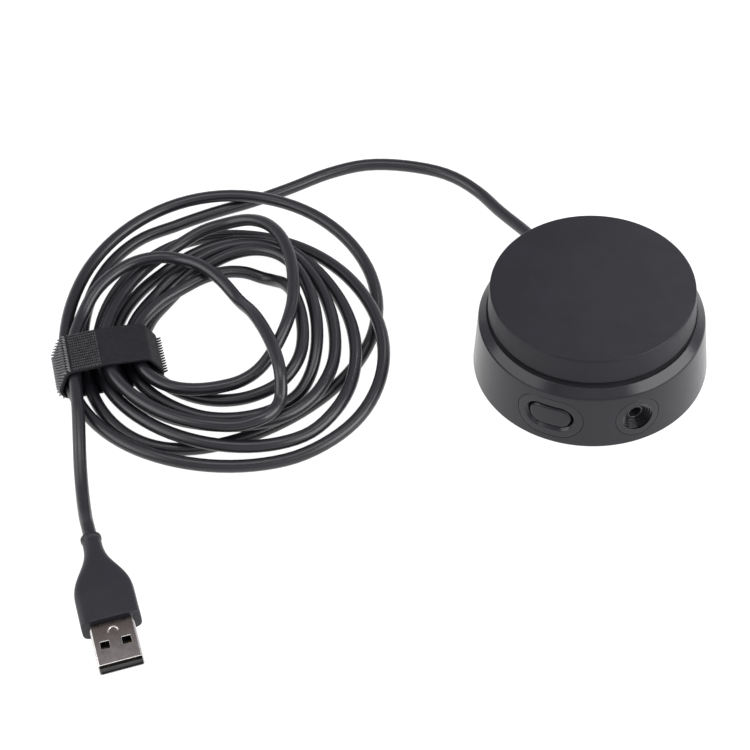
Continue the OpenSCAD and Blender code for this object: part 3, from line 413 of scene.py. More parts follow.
# Dark and light colour, roughness from and to, grain, its depth and blotches in millimetres, metal, specular
FINISHES = {
    "base_plastic": (*MOULDED, 0.36),
    "insert_plastic": (*MOULDED, 0.4),
    "knob_plastic": ((0.008, 0.008, 0.0112), (0.011, 0.011, 0.0152), (0.42, 0.48), 0.3, 0.01, 9, 0, 0.24),
    # Lighter tone for the shaded well under the knob: painted light
    "well_painted_light": ((0.015, 0.015, 0.018), (0.021, 0.021, 0.024), (0.60, 0.70), 0.25, 0.01),
    "ring_black": ((0.008, 0.008, 0.011), (0.011, 0.011, 0.015), (0.14, 0.20), 0.25, 0.003, 9, 0, 0.62),
    # Darker finish for the risers deep in the socket recess: painted shade
    "socket_painted_shade": ((0.004, 0.004, 0.005), (0.006, 0.006, 0.0075), (0.14, 0.20), 0.25, 0.003),
    "foot_rubber": ((0.012, 0.012, 0.012), (0.020, 0.020, 0.020), (0.75, 0.88), 0.5, 0.06),
    "screw_steel": ((0.50, 0.50, 0.51), (0.60, 0.60, 0.60), (0.28, 0.42), 0.2, 0.01, 2, 1),
    "board_green": ((0.012, 0.075, 0.032), (0.020, 0.105, 0.045), (0.22, 0.34), 0.6, 0.02, 5),
    "chip_black": ((0.010, 0.010, 0.011), (0.016, 0.016, 0.017), (0.40, 0.55), 0.2, 0.012, 3),
    "can_metal": ((0.62, 0.62, 0.64), (0.72, 0.72, 0.73), (0.22, 0.34), 0.3, 0.008, 3, 1),
    "header_white": ((0.66, 0.64, 0.58), (0.74, 0.72, 0.66), (0.42, 0.52), 0.4, 0.01, 4),
    "sensor_metal": ((0.52, 0.52, 0.50), (0.62, 0.62, 0.60), (0.26, 0.38), 0.3, 0.008, 3, 1),
    "shaft_metal": ((0.60, 0.60, 0.61), (0.68, 0.68, 0.69), (0.20, 0.32), 0.2, 0.008, 3, 1),
    "dark_plate": ((0.06, 0.06, 0.063), (0.08, 0.08, 0.084), (0.10, 0.16), 0.2, 0.002, 3, 1),
    "contact_brass": ((0.42, 0.33, 0.18), (0.50, 0.40, 0.23), (0.18, 0.30), 0.3, 0.004, 2, 1),
    "wire_sheath": ((0.34, 0.03, 0.025), (0.44, 0.05, 0.04), (0.32, 0.42), 0.3, 0.01, 3),
    "cord_sheath": ((0.0065, 0.0065, 0.0088), (0.009, 0.009, 0.012), (0.27, 0.35), 0.6, 0.01, 12, 0, 0.55),
    "strap_fabric": ((0.005, 0.005, 0.007), (0.010, 0.010, 0.0132), (0.62, 0.80), 0.25, 0.05, 2, 0, 0.3),
    "hook_nylon": ((0.045, 0.045, 0.048), (0.085, 0.085, 0.090), *NYLON),
    # Lighter copy of the hook nylon for the hooks on the bend: painted glint
    "nylon_painted_glint": ((0.12, 0.12, 0.124), (0.22, 0.22, 0.226), *NYLON),
    "grip_plastic": ((0.0085, 0.0085, 0.0118), (0.0115, 0.0115, 0.0158), (0.40, 0.47), 0.35, 0.01, 9, 0, 0.4),
    "shell_nickel": ((0.25, 0.226, 0.213), (0.31, 0.284, 0.27), (0.24, 0.34), 0.2, 0.002, 4, 1),
    # Bright metal on the shell's rounded corners, eased edges and lip: painted highlight
    "edge_painted_highlight": ((0.62, 0.595, 0.575), (0.70, 0.675, 0.655), (0.16, 0.24), 0.2, 0.002, 3, 1),
}
# A darker tint on the shell towards the grip, fading out between two distances along the plug
DARKER_TINT, TINT_FADE_FROM, TINT_FADE_TO = (0.13, 0.108, 0.097), 29, 44


def noise(tree, where, scale, detail):
    node = tree.nodes.new("ShaderNodeTexNoise")
    node.inputs["Detail"].default_value = detail
    node.inputs["Roughness"].default_value = NOISE_ROUGHNESS
    tree.links.new(where, node.inputs["Vector"])
    tree.links.new(scale, node.inputs["Scale"])
    return node.outputs["Fac"]


def stretch(tree, value, low, high):
    """Maps the middle of a noise onto a range."""
    node = tree.nodes.new("ShaderNodeMapRange")
    node.inputs["From Min"].default_value = NOISE_LOW
    node.inputs["From Max"].default_value = NOISE_HIGH
    tree.links.new(value, node.inputs["Value"])
    for end, key in ((low, "To Min"), (high, "To Max")):
        if isinstance(end, float):
            node.inputs[key].default_value = end
        else:
            tree.links.new(end, node.inputs[key])
    return node.outputs["Result"]


def make_surface_grain():
    """The group behind every finish: soft blotches of two colours, smaller smudges of gloss, a fine grain."""
    group = bpy.data.node_groups.new("surface_grain", "ShaderNodeTree")
    for name, kind in (("Vector", "Vector"), ("Dark", "Color"), ("Light", "Color"), ("Blotches", "Float"),
                       ("Glossy", "Float"), ("Dull", "Float"), ("Grains", "Float"), ("Depth", "Float")):
        group.interface.new_socket(name, in_out="INPUT", socket_type="NodeSocket" + kind)
    for name, kind in (("Color", "Color"), ("Roughness", "Float"), ("Normal", "Vector")):
        group.interface.new_socket(name, in_out="OUTPUT", socket_type="NodeSocket" + kind)
    given = group.nodes.new("NodeGroupInput").outputs
    made = group.nodes.new("NodeGroupOutput").inputs
    blotches = noise(group, given["Vector"], given["Blotches"], BLOTCH_DETAIL)
    mix = group.nodes.new("ShaderNodeMix")
    mix.data_type = "RGBA"
    group.links.new(given["Dark"], mix.inputs["A"])
    group.links.new(given["Light"], mix.inputs["B"])
    group.links.new(stretch(group, blotches, 0.0, 1.0), mix.inputs["Factor"])
    smaller = group.nodes.new("ShaderNodeMath")
    smaller.operation = "MULTIPLY"
    smaller.inputs[1].default_value = SMUDGES_PER_BLOTCH
    group.links.new(given["Blotches"], smaller.inputs[0])
    smudges = noise(group, given["Vector"], smaller.outputs["Value"], BLOTCH_DETAIL)
    bump = group.nodes.new("ShaderNodeBump")
    group.links.new(given["Depth"], bump.inputs["Distance"])
    group.links.new(noise(group, given["Vector"], given["Grains"], GRAIN_DETAIL), bump.inputs["Height"])
    group.links.new(mix.outputs["Result"], made["Color"])
    group.links.new(stretch(group, smudges, given["Glossy"], given["Dull"]), made["Roughness"])
    group.links.new(bump.outputs["Normal"], made["Normal"])
    return group


def make_finish(name, dark, light, gloss, grain, depth, blotch=9, metal=0, specular=0.5):
    """A finish with grains and blotches of a size in millimetres."""
    material = bpy.data.materials.new(name)
    material.use_nodes = True
    tree = material.node_tree
    shader = tree.nodes["Principled BSDF"]
    shader.inputs["Metallic"].default_value = metal
    shader.inputs["Specular IOR Level"].default_value = specular
    grained = tree.nodes.new("ShaderNodeGroup")
    grained.node_tree = surface_grain
    tree.links.new(tree.nodes.new("ShaderNodeTexCoord").outputs["Object"], grained.inputs["Vector"])
    for key, value in (("Dark", (*dark, 1)), ("Light", (*light, 1)), ("Blotches", 1 / (blotch * MM)),
                       ("Glossy", gloss[0]), ("Dull", gloss[1]),
                       ("Grains", 1 / (grain * MM)), ("Depth", depth * MM)):
        grained.inputs[key].default_value = value
    for key, socket in (("Color", "Base Color"), ("Roughness", "Roughness"), ("Normal", "Normal")):
        tree.links.new(grained.outputs[key], shader.inputs[socket])
    return material


def darken_towards(material, colour, way, start, end):
    """Darkens a metal with a colour that fades out between two distances along a way."""
    tree = material.node_tree
    shader = tree.nodes["Principled BSDF"]
    bright = shader.inputs["Base Color"].links[0].from_socket
    along = tree.nodes.new("ShaderNodeVectorMath")
    along.operation = "DOT_PRODUCT"
    along.inputs[1].default_value = way
    tree.links.new(tree.nodes.new("ShaderNodeTexCoord").outputs["Object"], along.inputs[0])
    share = tree.nodes.new("ShaderNodeMapRange")
    share.interpolation_type = "SMOOTHSTEP"
    share.inputs["From Min"].default_value = start
    share.inputs["From Max"].default_value = end
    tree.links.new(along.outputs["Value"], share.inputs["Value"])
    mix = tree.nodes.new("ShaderNodeMix")
    mix.data_type = "RGBA"
    mix.inputs["A"].default_value = (*colour, 1)
    tree.links.new(share.outputs["Result"], mix.inputs["Factor"])
    tree.links.new(bright, mix.inputs["B"])
    tree.links.new(mix.outputs["Result"], shader.inputs["Base Color"])


surface_grain = make_surface_grain()
materials = {name: make_finish(name, *look) for name, look in FINISHES.items()}
plug_start = float(PLUG_PLACE @ PLUG_DIR)
darken_towards(materials["shell_nickel"], DARKER_TINT, PLUG_DIR, (plug_start + TINT_FADE_FROM) * MM,
        (plug_start + TINT_FADE_TO) * MM)
for part in frame["record"]["subparts"]:
    node = frame["nodes"][part["node"]]
    node.data.materials.clear()
    node.data.materials.append(materials[part["material_slot"]])
cord.data.materials.append(materials["cord_sheath"])

# Base and knob

BASE_R, WALL_DRAFT, WALL_H, FOOT_PROUD, WALL_T = 34.2, 1.6, 18.0, 0.4, 2.0
SHOULDER_R, SHOULDER_Z, RIM_R, RIM_Z = 32.6, 18.4, 30.3, 20.9
WELL_R, RING_R, RING_Z, DECK_Z, ROOF_Z = 30.0, 26.0, 20.6, 18.9, 17.1
SENSOR_HOLE_R, BOSS_R, BOSS_Z = 3.65, 8.0, 13.1
LEDGE_R, LEDGE_Z = 32.66, 2.0
# Heights of the band in the well that gets the painted light
PAINTED_LIGHT_FROM, PAINTED_LIGHT_TO = 18.0, 20.85
FOOT_ROUND, SHOULDER_ROUND, RIM_ROUND, WELL_ROUND = 0.3, 0.45, 0.12, 0.3
KNOB_R, KNOB_TOP_R, KNOB_LOW, KNOB_TOP = 29.8, 29.2, 22.4, 30.7
KNOB_IN_R, KNOB_ROOF_R, KNOB_ROOF = 28.2, 27.75, 28.7
KNOB_IN_ROUND, KNOB_LOW_ROUND, KNOB_TOP_ROUND = 0.2, 0.3, 0.6
PORT_Z, BUTTON_TURN, JACK_TURN = 9.5, radians(-22), radians(22)
FRAME_W, FRAME_H, FRAME_GAP = 19.4, 13.6, 0.12
INSERT_R, GUARD_HOLE_R = 6.5, 3.7
PILL_SEGMENTS, ROUND_SIDES, STRIP_W = 18, 128, 0.75
CUT_AHEAD, CUT_DEPTH, BAR_L, BAR_MIDDLE = 3.0, 7.5, 8.0, 33.5


def wall_r(z):
    return BASE_R - WALL_DRAFT * (z - FOOT_PROUD) / WALL_H


PORT_R = wall_r(PORT_Z)


def flat_pill(name, w, h, depth):
    """A pill-shaped face in front of the wall: x across, y into the wall, z up."""
    piece = begin(name, bpy.ops.mesh.primitive_plane_add, size=1, rotation=(pi / 2, 0, 0),
                  scale=(w * MM, h * MM, 1), location=(0, depth * MM, PORT_Z * MM))
    pick(piece, "VERT", lambda v: True)
    bevel(h / 2, PILL_SEGMENTS, "VERTICES")
    merge_doubles()
    bpy.ops.mesh.select_mode(type="FACE")
    return piece


def close_back(piece, depth):
    """Opens the selected floor, draws the outer edge back to a depth and closes the piece behind."""
    bpy.ops.mesh.delete(type="FACE")
    pick(piece, "EDGE", lambda e: e.is_boundary and e.verts[0].co.y < FRONT)
    extrude(0, depth, 0)
    pick(piece, "EDGE", lambda e: e.is_boundary)
    bpy.ops.mesh.bridge_edge_loops()
    close_up()


def slice_up(reach):
    """Cuts a flat piece into upright strips, so that it can follow the round wall."""
    for x in np.arange(-reach, reach + STRIP_W / 2, STRIP_W):
        bpy.ops.mesh.select_all(action="SELECT")
        bpy.ops.mesh.bisect(plane_co=(float(x) * MM, 0, 0), plane_no=(1, 0, 0))
    close_up()


def lay_on_wall(piece, turn, wrapped=BASE_R):
    """Bends a flat piece onto the sloped round wall. What lies deeper than wrapped stays flat."""
    leave(piece)
    for v in piece.data.vertices:
        x, depth, z = v.co / MM
        r = wall_r(z) - depth
        y = -sqrt(r * r - x * x) if depth < wrapped else depth - PORT_R
        v.co = Matrix.Rotation(turn, 3, "Z") @ Vector((x, y, z)) * MM


def bar_cutter(radius, turn, height):
    """A round bar through the wall."""
    piece = begin("cutter", bpy.ops.mesh.primitive_cylinder_add, vertices=ROUND_SIDES, radius=radius * MM,
                  depth=BAR_L * MM, location=(0, 0, BAR_MIDDLE * MM))
    aim_out(piece, turn, height)
    return piece


def make_base():
    """Wall, shoulder and rim, the dark well under the knob with a lighter tone as painted light, and back
    down the inside.
    """
    base = spun("base", [
        (BASE_R, FOOT_PROUD, FOOT_ROUND), (SHOULDER_R, SHOULDER_Z, SHOULDER_ROUND),
        (RIM_R, RIM_Z, RIM_ROUND), (WELL_R, RIM_Z, RIM_ROUND), (WELL_R, RING_Z, WELL_ROUND),
        (RING_R, RING_Z), (RING_R, DECK_Z),
        (SENSOR_HOLE_R, DECK_Z), (SENSOR_HOLE_R, BOSS_Z), (BOSS_R, BOSS_Z), (BOSS_R, ROOF_Z),
        (wall_r(ROOF_Z) - WALL_T, ROOF_Z), (wall_r(LEDGE_Z) - WALL_T, LEDGE_Z),
        (LEDGE_R, LEDGE_Z), (LEDGE_R, FOOT_PROUD), (BASE_R, FOOT_PROUD)], MANY_STEPS)
    opening = flat_pill("cutter", FRAME_W + 2 * FRAME_GAP, FRAME_H + 2 * FRAME_GAP, -PORT_R - CUT_AHEAD)
    extrude(0, CUT_DEPTH, 0)
    close_up()
    place(opening, Matrix.Rotation(BUTTON_TURN, 4, "Z"))
    cut(base, opening)
    cut(base, bar_cutter(INSERT_R + FRAME_GAP, JACK_TURN, PORT_Z))
    cut(base, bar_cutter(GUARD_HOLE_R, EXIT_TURN, EXIT_Z))
    give(base, "base_plastic", "well_painted_light")
    # The well's faces get the lighter tone: painted light in its shade
    for face in base.data.polygons:
        r, z = face.center.xy.length / MM, face.center.z / MM
        face.material_index = int(r < WELL_R and PAINTED_LIGHT_FROM < z < PAINTED_LIGHT_TO)
    finish_piece(base, "base", "base_plastic", "base_housing")


def make_knob():
    knob = spun("knob", [
        (0, KNOB_ROOF), (KNOB_ROOF_R, KNOB_ROOF), (KNOB_IN_R, KNOB_LOW, KNOB_IN_ROUND),
        (KNOB_R, KNOB_LOW, KNOB_LOW_ROUND), (KNOB_TOP_R, KNOB_TOP, KNOB_TOP_ROUND),
        (0, KNOB_TOP)], MANY_STEPS)
    finish_piece(knob, "knob", "knob_plastic", "knob_cap")


make_base()
make_knob()

# Button and headphone socket

FRAME_RIM, FRAME_DEPTH, FRAME_SLICED = 2.3, 1.9, 9
SLOPE_W, SLOPE_DEPTH, FRAME_EDGE = 0.75, 0.8, 0.12
BUTTON_W, BUTTON_H, BUTTON_SUNK, BUTTON_DEPTH = 12.7, 6.9, 0.2, 3.6
BUTTON_ROUND, BUTTON_SLICED = 0.9, 6
RECESS_R, INSERT_DEPTH, INSERT_EDGE, INSERT_WRAP, INSERT_SLICED = 4.5, 3.2, 0.03, 0.3, 6
RECESS_STEPS, FIRST_DEPTH, RING_DEPTH, RING_W = 4, 0.6, 0.6, 0.46
# The last is the depth from which the recess's risers take the painted shade
LIP_H, GROOVE_H, GROOVE_W, PAINTED_SHADE_DEPTH = 0.28, 0.22, 0.14, 0.1
SOCKET_R, PLATED_R, PLATED_IN, PLATED_OUT, PLATED_EDGE = 1.8, 2.25, 30.9, 31.25, 0.12
FLANGE_R, FLANGE_IN, FLANGE_OUT = 4.6, 29.5, 31.0
GUARD_R, TAPER_START, TIP_R, TIP_ROUND = 3.6, 33.6, 2.6, 0.6


def make_button_frame():
    ring = flat_pill("button_ring", FRAME_W, FRAME_H, 0)
    bpy.ops.mesh.inset(thickness=FRAME_RIM * MM, depth=0)
    bpy.ops.mesh.inset(thickness=SLOPE_W * MM, depth=-SLOPE_DEPTH * MM)
    extrude(0, FRAME_DEPTH - SLOPE_DEPTH, 0)
    close_back(ring, FRAME_DEPTH)
    pick(ring, "EDGE", lambda e: all(v.co.y < NEAR for v in e.verts) and e.calc_face_angle(0) > FOLD)
    bevel(FRAME_EDGE, segments=3)
    slice_up(FRAME_SLICED)
    lay_on_wall(ring, BUTTON_TURN)
    finish_piece(ring, "base", "insert_plastic", "button_frame")


def make_button():
    button = flat_pill("button", BUTTON_W, BUTTON_H, BUTTON_SUNK)
    extrude(0, BUTTON_DEPTH, 0)
    close_up()
    pick(button, "EDGE", lambda e: all(v.co.y < BUTTON_SUNK * MM + NEAR for v in e.verts))
    bevel(BUTTON_ROUND, segments=7)
    slice_up(BUTTON_SLICED)
    lay_on_wall(button, BUTTON_TURN)
    finish_piece(button, "button", "base_plastic", "button_cap")


def step_edge(e):
    """A test for the level, folded edges of the insert, apart from those at its back."""
    depth, other = (v.co.y for v in e.verts)
    return (abs(depth - other) < SAME_SPOT and e.calc_face_angle(0) > FOLD
            and depth < INSERT_DEPTH * MM - FRONT)


def make_insert():
    """The round insert, whose recess steps down to the socket in rings with a groove behind each."""
    insert = begin("socket_insert", bpy.ops.mesh.primitive_circle_add, vertices=ROUND_SIDES,
                   radius=INSERT_R * MM, fill_type="NGON", rotation=(pi / 2, 0, 0),
                   location=(0, 0, PORT_Z * MM))
    bpy.ops.mesh.select_mode(type="FACE")
    bpy.ops.mesh.inset(thickness=(INSERT_R - RECESS_R) * MM, depth=0)
    rings = []
    for step in range(RECESS_STEPS):
        step_depth, ring_r = FIRST_DEPTH + RING_DEPTH * step, RECESS_R - RING_W * step
        rings += [(step_depth - LIP_H, ring_r), (step_depth - GROOVE_H, ring_r + GROOVE_W),
                  (step_depth, ring_r + GROOVE_W), (step_depth, ring_r - RING_W)]
    rings += [(INSERT_DEPTH, rings[-1][1])]
    depth, radius = 0, RECESS_R
    for next_depth, next_r in rings:
        extrude(0, next_depth - depth, 0)
        bpy.ops.transform.resize(value=(next_r / radius, 1, next_r / radius),
                                 center_override=(0, 0, PORT_Z * MM))
        depth, radius = next_depth, next_r
    close_back(insert, INSERT_DEPTH)
    pick(insert, "EDGE", step_edge)
    bevel(INSERT_EDGE, segments=1)
    slice_up(INSERT_SLICED)
    leave(insert)
    give(insert, "insert_plastic", "socket_painted_shade", "ring_black")
    # Deeper faces: ledges facing out take the glossy ring finish, the rest a darker finish as painted shade
    for face in insert.data.polygons:
        if face.center.y > PAINTED_SHADE_DEPTH * MM:
            face.material_index = 2 if abs(face.normal.y) > FACING else 1
    lay_on_wall(insert, JACK_TURN, INSERT_WRAP)
    finish_piece(insert, "base", "insert_plastic", "jack_insert")


def make_socket_ring():
    """The plated ring at the mouth of the socket."""
    ring = spun("socket_ring", [
        (SOCKET_R, PLATED_IN), (PLATED_R, PLATED_IN), (PLATED_R, PLATED_OUT, PLATED_EDGE),
        (SOCKET_R, PLATED_OUT, PLATED_EDGE), (SOCKET_R, PLATED_IN)], FEW_STEPS)
    aim_out(ring, JACK_TURN, PORT_Z)
    give(ring, "dark_plate")
    finish_piece(ring, "base", "sensor_metal")


def make_guard():
    """The tapered guard where the cord leaves the base, with its flange behind the wall."""
    guard = spun("cord_sleeve", [
        (0, FLANGE_IN), (FLANGE_R, FLANGE_IN), (FLANGE_R, FLANGE_OUT), (GUARD_R, FLANGE_OUT),
        (GUARD_R, TAPER_START), (TIP_R, GUARD_END, TIP_ROUND), (0, GUARD_END)], FEW_STEPS)
    aim_out(guard, EXIT_TURN, EXIT_Z)
    return finish_piece(guard, "base", "cord_sheath", "cord_guard")


make_button_frame()
make_button()
make_insert()
make_socket_ring()
guard = make_guard()

# Plug

PLUG = Matrix.Translation(Vector(PLUG_PLACE) * MM) @ Matrix.Rotation(PLUG_TURN, 4, "Z")
COLLAR_R, COLLAR_L, COLLAR_ROUND, NECK_R, NECK_START = 2.9, 1.0, 0.15, 2.65, 1.4
FLARE_START, FLARE_L, FLARE_STEPS = 2.0, 20.5, 24
FLARE_W, FLARE_H, FLARE_SQUARE = 5.4, 1.35, 1.4
GRIP_L, GRIP_STRAIGHT, GRIP_ROUND, GRIP_SIDES = 30.5, 26.5, 0.4, 64
SHELL_START, SHELL_END, SHELL_W, SHELL_H = 23.0, 43.7, 12.0, 4.5
SHEET_T, SHELL_ROUND, SHELL_EDGE = 0.3, 0.7, 0.13
WINDOW, WINDOW_BACK, WINDOW_SIDE, WINDOW_ROUND = 2.4, 6.0, 2.9, 0.2
TAB_X, TAB_R, TAB_SIDES = GRIP_L + 3.4, 1.5, 48
LIP_R, LIP_WIRE_R, LIP_Z, LIP_SIDES, LIP_STEPS = 1.35, 0.21, 2.2, 12, 24
# Rounded corners of the shell, painted as highlight: how far they face sideways, and at most along the plug
CORNER_LOW, CORNER_HIGH, CORNER_ALONG = 0.2, 0.98, 0.1


def grip_section(angle, x):
    """A point of the grip's skin: a round neck that flares into a flat body with soft corners."""
    f = ease(min(1, max(0, (x - FLARE_START) / FLARE_L)))
    power = 1 / (1 + FLARE_SQUARE * f)
    c, s = cos(angle), sin(angle)
    w, h = NECK_R + FLARE_W * f, NECK_R + FLARE_H * f
    return copysign(w * abs(c) ** power, c), copysign(h * abs(s) ** power, s)


def edges_at(*places):
    """A test for edges that lie at one of some places along the plug."""
    return lambda e: any(all(abs(v.co.x - x * MM) < NEAR for v in e.verts) for x in places)


def make_grip():
    flare = [FLARE_START + FLARE_L * i / FLARE_STEPS for i in range(FLARE_STEPS + 1)]
    stations = [0, COLLAR_L, NECK_START, *flare, GRIP_STRAIGHT, GRIP_L]
    grip = begin("grip", bpy.ops.mesh.primitive_circle_add, vertices=GRIP_SIDES, radius=COLLAR_R * MM,
                 fill_type="NGON", rotation=(0, pi / 2, 0))
    bpy.ops.mesh.select_mode(type="FACE")
    for x0, x1 in zip(stations, stations[1:]):
        extrude(x1 - x0, 0, 0)
    leave(grip)
    for v in grip.data.vertices:
        x = v.co.x / MM
        if x > (COLLAR_L + NECK_START) / 2:
            v.co = Vector((x, *grip_section(atan2(v.co.z, v.co.y), x))) * MM
    bpy.ops.object.mode_set(mode="EDIT")
    pick(grip, "EDGE", edges_at(GRIP_L))
    bevel(GRIP_ROUND, segments=4)
    pick(grip, "EDGE", edges_at(0, COLLAR_L))
    bevel(COLLAR_ROUND, segments=3)
    close_up()
    place(grip, PLUG)
    return finish_piece(grip, "base", "grip_plastic", "plug_grip")


def make_shell():
    """The folded sheet of the plug, with two windows, the slot of a spring tab and the tab's raised lip."""
    shell = begin("plug_sheet", bpy.ops.mesh.primitive_cube_add, size=1,
                  scale=((SHELL_END - SHELL_START) * MM, SHELL_W * MM, SHELL_H * MM),
                  location=((SHELL_END + SHELL_START) / 2 * MM, 0, 0))
    pick(shell, "EDGE", runs_along(0))
    bevel(SHELL_ROUND, segments=6)
    pick(shell, "FACE", lambda f: abs(f.normal.x) > FACING)
    bpy.ops.mesh.delete(type="FACE")
    apply_modifier(shell, "SOLIDIFY", thickness=SHEET_T * MM, offset=-1)
    for side in (-1, 1):
        window = begin("cutter", bpy.ops.mesh.primitive_cube_add, size=1,
                       scale=(WINDOW * MM, WINDOW * MM, 2 * SHELL_H * MM),
                       location=((SHELL_END - WINDOW_BACK) * MM, side * WINDOW_SIDE * MM, 0))
        pick(window, "EDGE", runs_along(2))
        bevel(WINDOW_ROUND, segments=3)
        cut(shell, window)
    half_plane = {"plane_co": (TAB_X * MM, 0, 0), "plane_no": (1, 0, 0), "clear_outer": True}
    tab = begin("cutter", bpy.ops.mesh.primitive_circle_add, vertices=TAB_SIDES, radius=TAB_R * MM,
                fill_type="NOTHING", location=(TAB_X * MM, 0, -SHELL_H * MM))
    extrude(0, 0, 2 * SHELL_H)
    bpy.ops.mesh.select_all(action="SELECT")
    bpy.ops.mesh.bisect(**half_plane)
    apply_modifier(tab, "SOLIDIFY", thickness=SHEET_T * MM, offset=-1)
    cut(shell, tab)
    give(shell, "shell_nickel", "edge_painted_highlight")
    # Rounded corners and, below, the eased edges take the bright metal: painted highlight
    for face in shell.data.polygons:
        along, side, _ = (abs(part) for part in face.normal)
        face.material_index = int(CORNER_LOW < side < CORNER_HIGH and along < CORNER_ALONG)
    ease_edges(shell, SHELL_EDGE, material=1)
    lip = begin("spring_lip", bpy.ops.mesh.primitive_circle_add, vertices=LIP_SIDES, radius=LIP_WIRE_R * MM,
                fill_type="NOTHING", rotation=(pi / 2, 0, 0), location=((TAB_X + LIP_R) * MM, 0, LIP_Z * MM))
    bpy.ops.mesh.spin(steps=LIP_STEPS, angle=2 * pi, center=(TAB_X * MM, 0, LIP_Z * MM), axis=(0, 0, 1))
    close_up()
    bpy.ops.mesh.bisect(use_fill=True, **half_plane)
    # The lip takes the bright metal too: painted highlight
    give(lip, "edge_painted_highlight")
    join(shell, [lip])
    place(shell, PLUG)
    return finish_piece(shell, "base", "shell_nickel", "plug_shell")


grip = make_grip()
shell = make_shell()

# Strap: made flat, with its hooks, and then rolled round the cords

BAND_T, BAND_EDGE, BAND_CUTS, JOINT_GAP = 0.8, 0.12, (220, 10), 0.04
HULL_TURNS, FLOOR_WEIGHT = 120, 10
ROW_PITCH, HOOK_W, HOOK_SUNK, HOOK_RISE = 1.05, 0.45, 0.05, 0.02
# How far each part of a hook leans, its share of the height, and how it narrows
HOOK_STEPS = ((0.04, 0.5, 0.8), (0.16, 0.42, 0.65), (0.12, 0.08, 0.7))
# Where along the strap hooks start, how many there are in a row, their pitch, height and finish; the rows on
# the bend take a lighter nylon as painted glint
HOOKED = ((0.262, 1, 0.6, 1.2, "strap_fabric"), (0.56, 14, 0.6, 0.62, "hook_nylon"),
          (0.685, 10, 1.2, 0.95, "nylon_painted_glint"))


def strap_line():
    """The strap's middle line, across and up, pulled tight round the passes of the coil."""
    across, along = seen_from_strap(route)
    inside = held(across, along)
    reach = CORD_R + STRAP_GAP + BAND_T / 2
    turns = np.linspace(0, 2 * pi, HULL_TURNS, endpoint=False)
    slack = STRAP_T - BAND_T
    cloud = [(x + reach * cos(t), z + reach * sin(t) + slack * min(0, sin(t)))
             for x, z in zip(across[inside], route[inside, 2]) for t in turns]
    hull = []
    for points in (sorted(cloud), sorted(cloud, reverse=True)):
        half = []
        for p in points:
            while len(half) > 1 and ((half[-1][0] - half[-2][0]) * (p[1] - half[-2][1])
                                     <= (half[-1][1] - half[-2][1]) * (p[0] - half[-2][0])):
                half.pop()
            half.append(p)
        hull += half[:-1]
    hull = np.array(hull)
    start = np.argmin(abs(hull[:, 0]) + FLOOR_WEIGHT * hull[:, 1])
    return np.vstack((np.roll(hull, -start, axis=0), hull[start]))


def roll_up(piece, line, run):
    """Rolls a flat piece, made along x from 0 to the end of the run, round the cords."""
    steps = np.diff(run)
    ways = np.diff(line, axis=0) / steps[:, None]
    for v in piece.data.vertices:
        s = min(max(v.co.x / MM, 0), run[-1])
        i = min(np.searchsorted(run, s, side="right") - 1, len(steps) - 1)
        spot = line[i] + (s - run[i]) * ways[i]
        f = (s - run[i]) / steps[i]
        before, after = ways[i - 1] + ways[i], ways[i] + ways[(i + 1) % len(ways)]
        way = before / np.linalg.norm(before) * (1 - f) + after / np.linalg.norm(after) * f
        spot = spot + v.co.z / MM * np.array((way[1], -way[0])) / np.linalg.norm(way)
        floor_place = STRAP_PLACE + spot[0] * STRAP_U + v.co.y / MM * STRAP_V
        v.co = Vector((*floor_place, max(0, spot[1]))) * MM
    bpy.ops.object.mode_set(mode="EDIT")
    close_up()


def make_hooks(first, count, pitch, height, finish):
    """Rows of hooks on the flat strap, from a place along it."""
    rows = int(STRAP_W / ROW_PITCH)
    spot = Vector((first, (1 - rows) / 2 * ROW_PITCH, BAND_T / 2 - HOOK_SUNK)) * MM
    hooks = begin("strap_hooks", bpy.ops.mesh.primitive_plane_add, size=1,
                  scale=(HOOK_W * MM, HOOK_W * MM, 1), location=spot)
    bpy.ops.mesh.select_mode(type="FACE")
    for lean, share, taper in HOOK_STEPS:
        step = Vector((lean, 0, share * height + HOOK_RISE))
        extrude(*step)
        spot = spot + step * MM
        bpy.ops.transform.resize(value=(taper, taper, 1), center_override=spot)
    close_up()
    repeat(hooks, count, pitch, 0)
    repeat(hooks, rows, 0, ROW_PITCH)
    give(hooks, finish)
    return hooks


def make_strap():
    line = strap_line()
    run = np.concatenate(([0], np.cumsum(np.linalg.norm(np.diff(line, axis=0), axis=1))))
    band = begin("strap", bpy.ops.mesh.primitive_grid_add, size=1,
                 x_subdivisions=BAND_CUTS[0], y_subdivisions=BAND_CUTS[1],
                 scale=((run[-1] - JOINT_GAP) * MM, STRAP_W * MM, 1), location=(run[-1] / 2 * MM, 0, 0))
    apply_modifier(band, "SOLIDIFY", thickness=BAND_T * MM, offset=0)
    ease_edges(band, BAND_EDGE)
    roll_up(band, line, run)
    finish_piece(band, "base", "strap_fabric", "cord_strap")
    hooks, *others = [make_hooks(first * run[-1], *rows) for first, *rows in HOOKED]
    join(hooks, others)
    roll_up(hooks, line, run)
    return band, finish_piece(hooks, "base", "strap_fabric")


strap, hooks = make_strap()

# Floor and light

SKY_COLOUR, SKY_LOW, SKY_HIGH = (0.97, 0.945, 1.03, 1), 0.7, 0.5
FADE_FROM, FADE_TO = 0.1, 0.7
FLOOR_SIZE, FLOOR_GREY, FLOOR_GLOW, FLOOR_ROUGHNESS = 6, 0.2, 0.95, 0.9


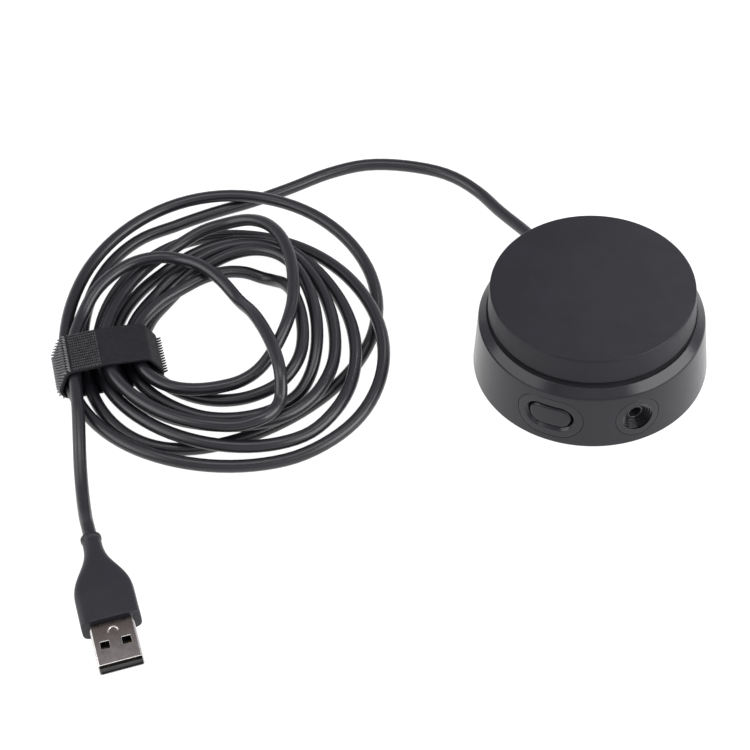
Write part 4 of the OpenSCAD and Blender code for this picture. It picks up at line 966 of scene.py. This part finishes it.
def make_stage():
    """A white floor that glows, so that it has next to no shadows."""
    floor = begin("floor", bpy.ops.mesh.primitive_plane_add, size=FLOOR_SIZE)
    leave(floor)
    material = bpy.data.materials.new("floor_white")
    material.use_nodes = True
    shader = material.node_tree.nodes["Principled BSDF"]
    for key, value in (("Base Color", (FLOOR_GREY, FLOOR_GREY, FLOOR_GREY, 1)),
                       ("Roughness", FLOOR_ROUGHNESS), ("Specular IOR Level", 0),
                       ("Emission Color", (1, 1, 1, 1)), ("Emission Strength", FLOOR_GLOW)):
        shader.inputs[key].default_value = value
    floor.data.materials.append(material)


def make_sky():
    """Lighter round the horizon than above, so that level faces stay dark and edges catch light."""
    world = bpy.data.worlds.new("studio")
    bpy.context.scene.world = world
    world.use_nodes = True
    tree = world.node_tree
    split = tree.nodes.new("ShaderNodeSeparateXYZ")
    tree.links.new(tree.nodes.new("ShaderNodeTexCoord").outputs["Generated"], split.inputs["Vector"])
    fade = tree.nodes.new("ShaderNodeMapRange")
    fade.interpolation_type = "SMOOTHSTEP"
    for key, value in (("From Min", FADE_FROM), ("From Max", FADE_TO), ("To Min", SKY_LOW),
                       ("To Max", SKY_HIGH)):
        fade.inputs[key].default_value = value
    tree.links.new(split.outputs["Z"], fade.inputs["Value"])
    tree.nodes["Background"].inputs["Color"].default_value = SKY_COLOUR
    tree.links.new(fade.outputs["Result"], tree.nodes["Background"].inputs["Strength"])


def make_light(name, spot, aim, size, power, spread=180):
    """A soft box at a spot, in metres, watts and degrees."""
    data = bpy.data.lights.new(name, "AREA")
    data.shape = "RECTANGLE"
    data.size, data.size_y = size
    data.energy = power
    data.spread = radians(spread)
    light = bpy.data.objects.new(name, data)
    bpy.context.scene.collection.objects.link(light)
    way = Vector(aim) - Vector(spot)
    light.matrix_world = Matrix.Translation(spot) @ way.to_track_quat("-Z", "Y").to_matrix().to_4x4()


bpy.context.scene.view_settings.view_transform = "Standard"
make_sky()
make_light("left_box", spot=(-0.75, -0.2, 0.4), aim=(-0.06, 0, 0), size=(0.8, 0.6), power=3.6)
make_light("right_box", spot=(0.62, -0.2, 0.36), aim=(0, 0, 0.01), size=(0.8, 0.6), power=7)
make_light("top_box", spot=(-0.09, 0.02, 0.7), aim=(-0.09, 0.02, 0), size=(0.6, 0.25), power=1.3)
make_light("front_box", spot=(0, -0.72, 0.54), aim=(0, 0, 0), size=(0.8, 0.3), power=0.4)
make_light("back_box", spot=(0.12, 0.25, 0.3), aim=(0.02, 0, 0.03), size=(0.12, 0.12), power=0.009,
           spread=25)
make_stage()
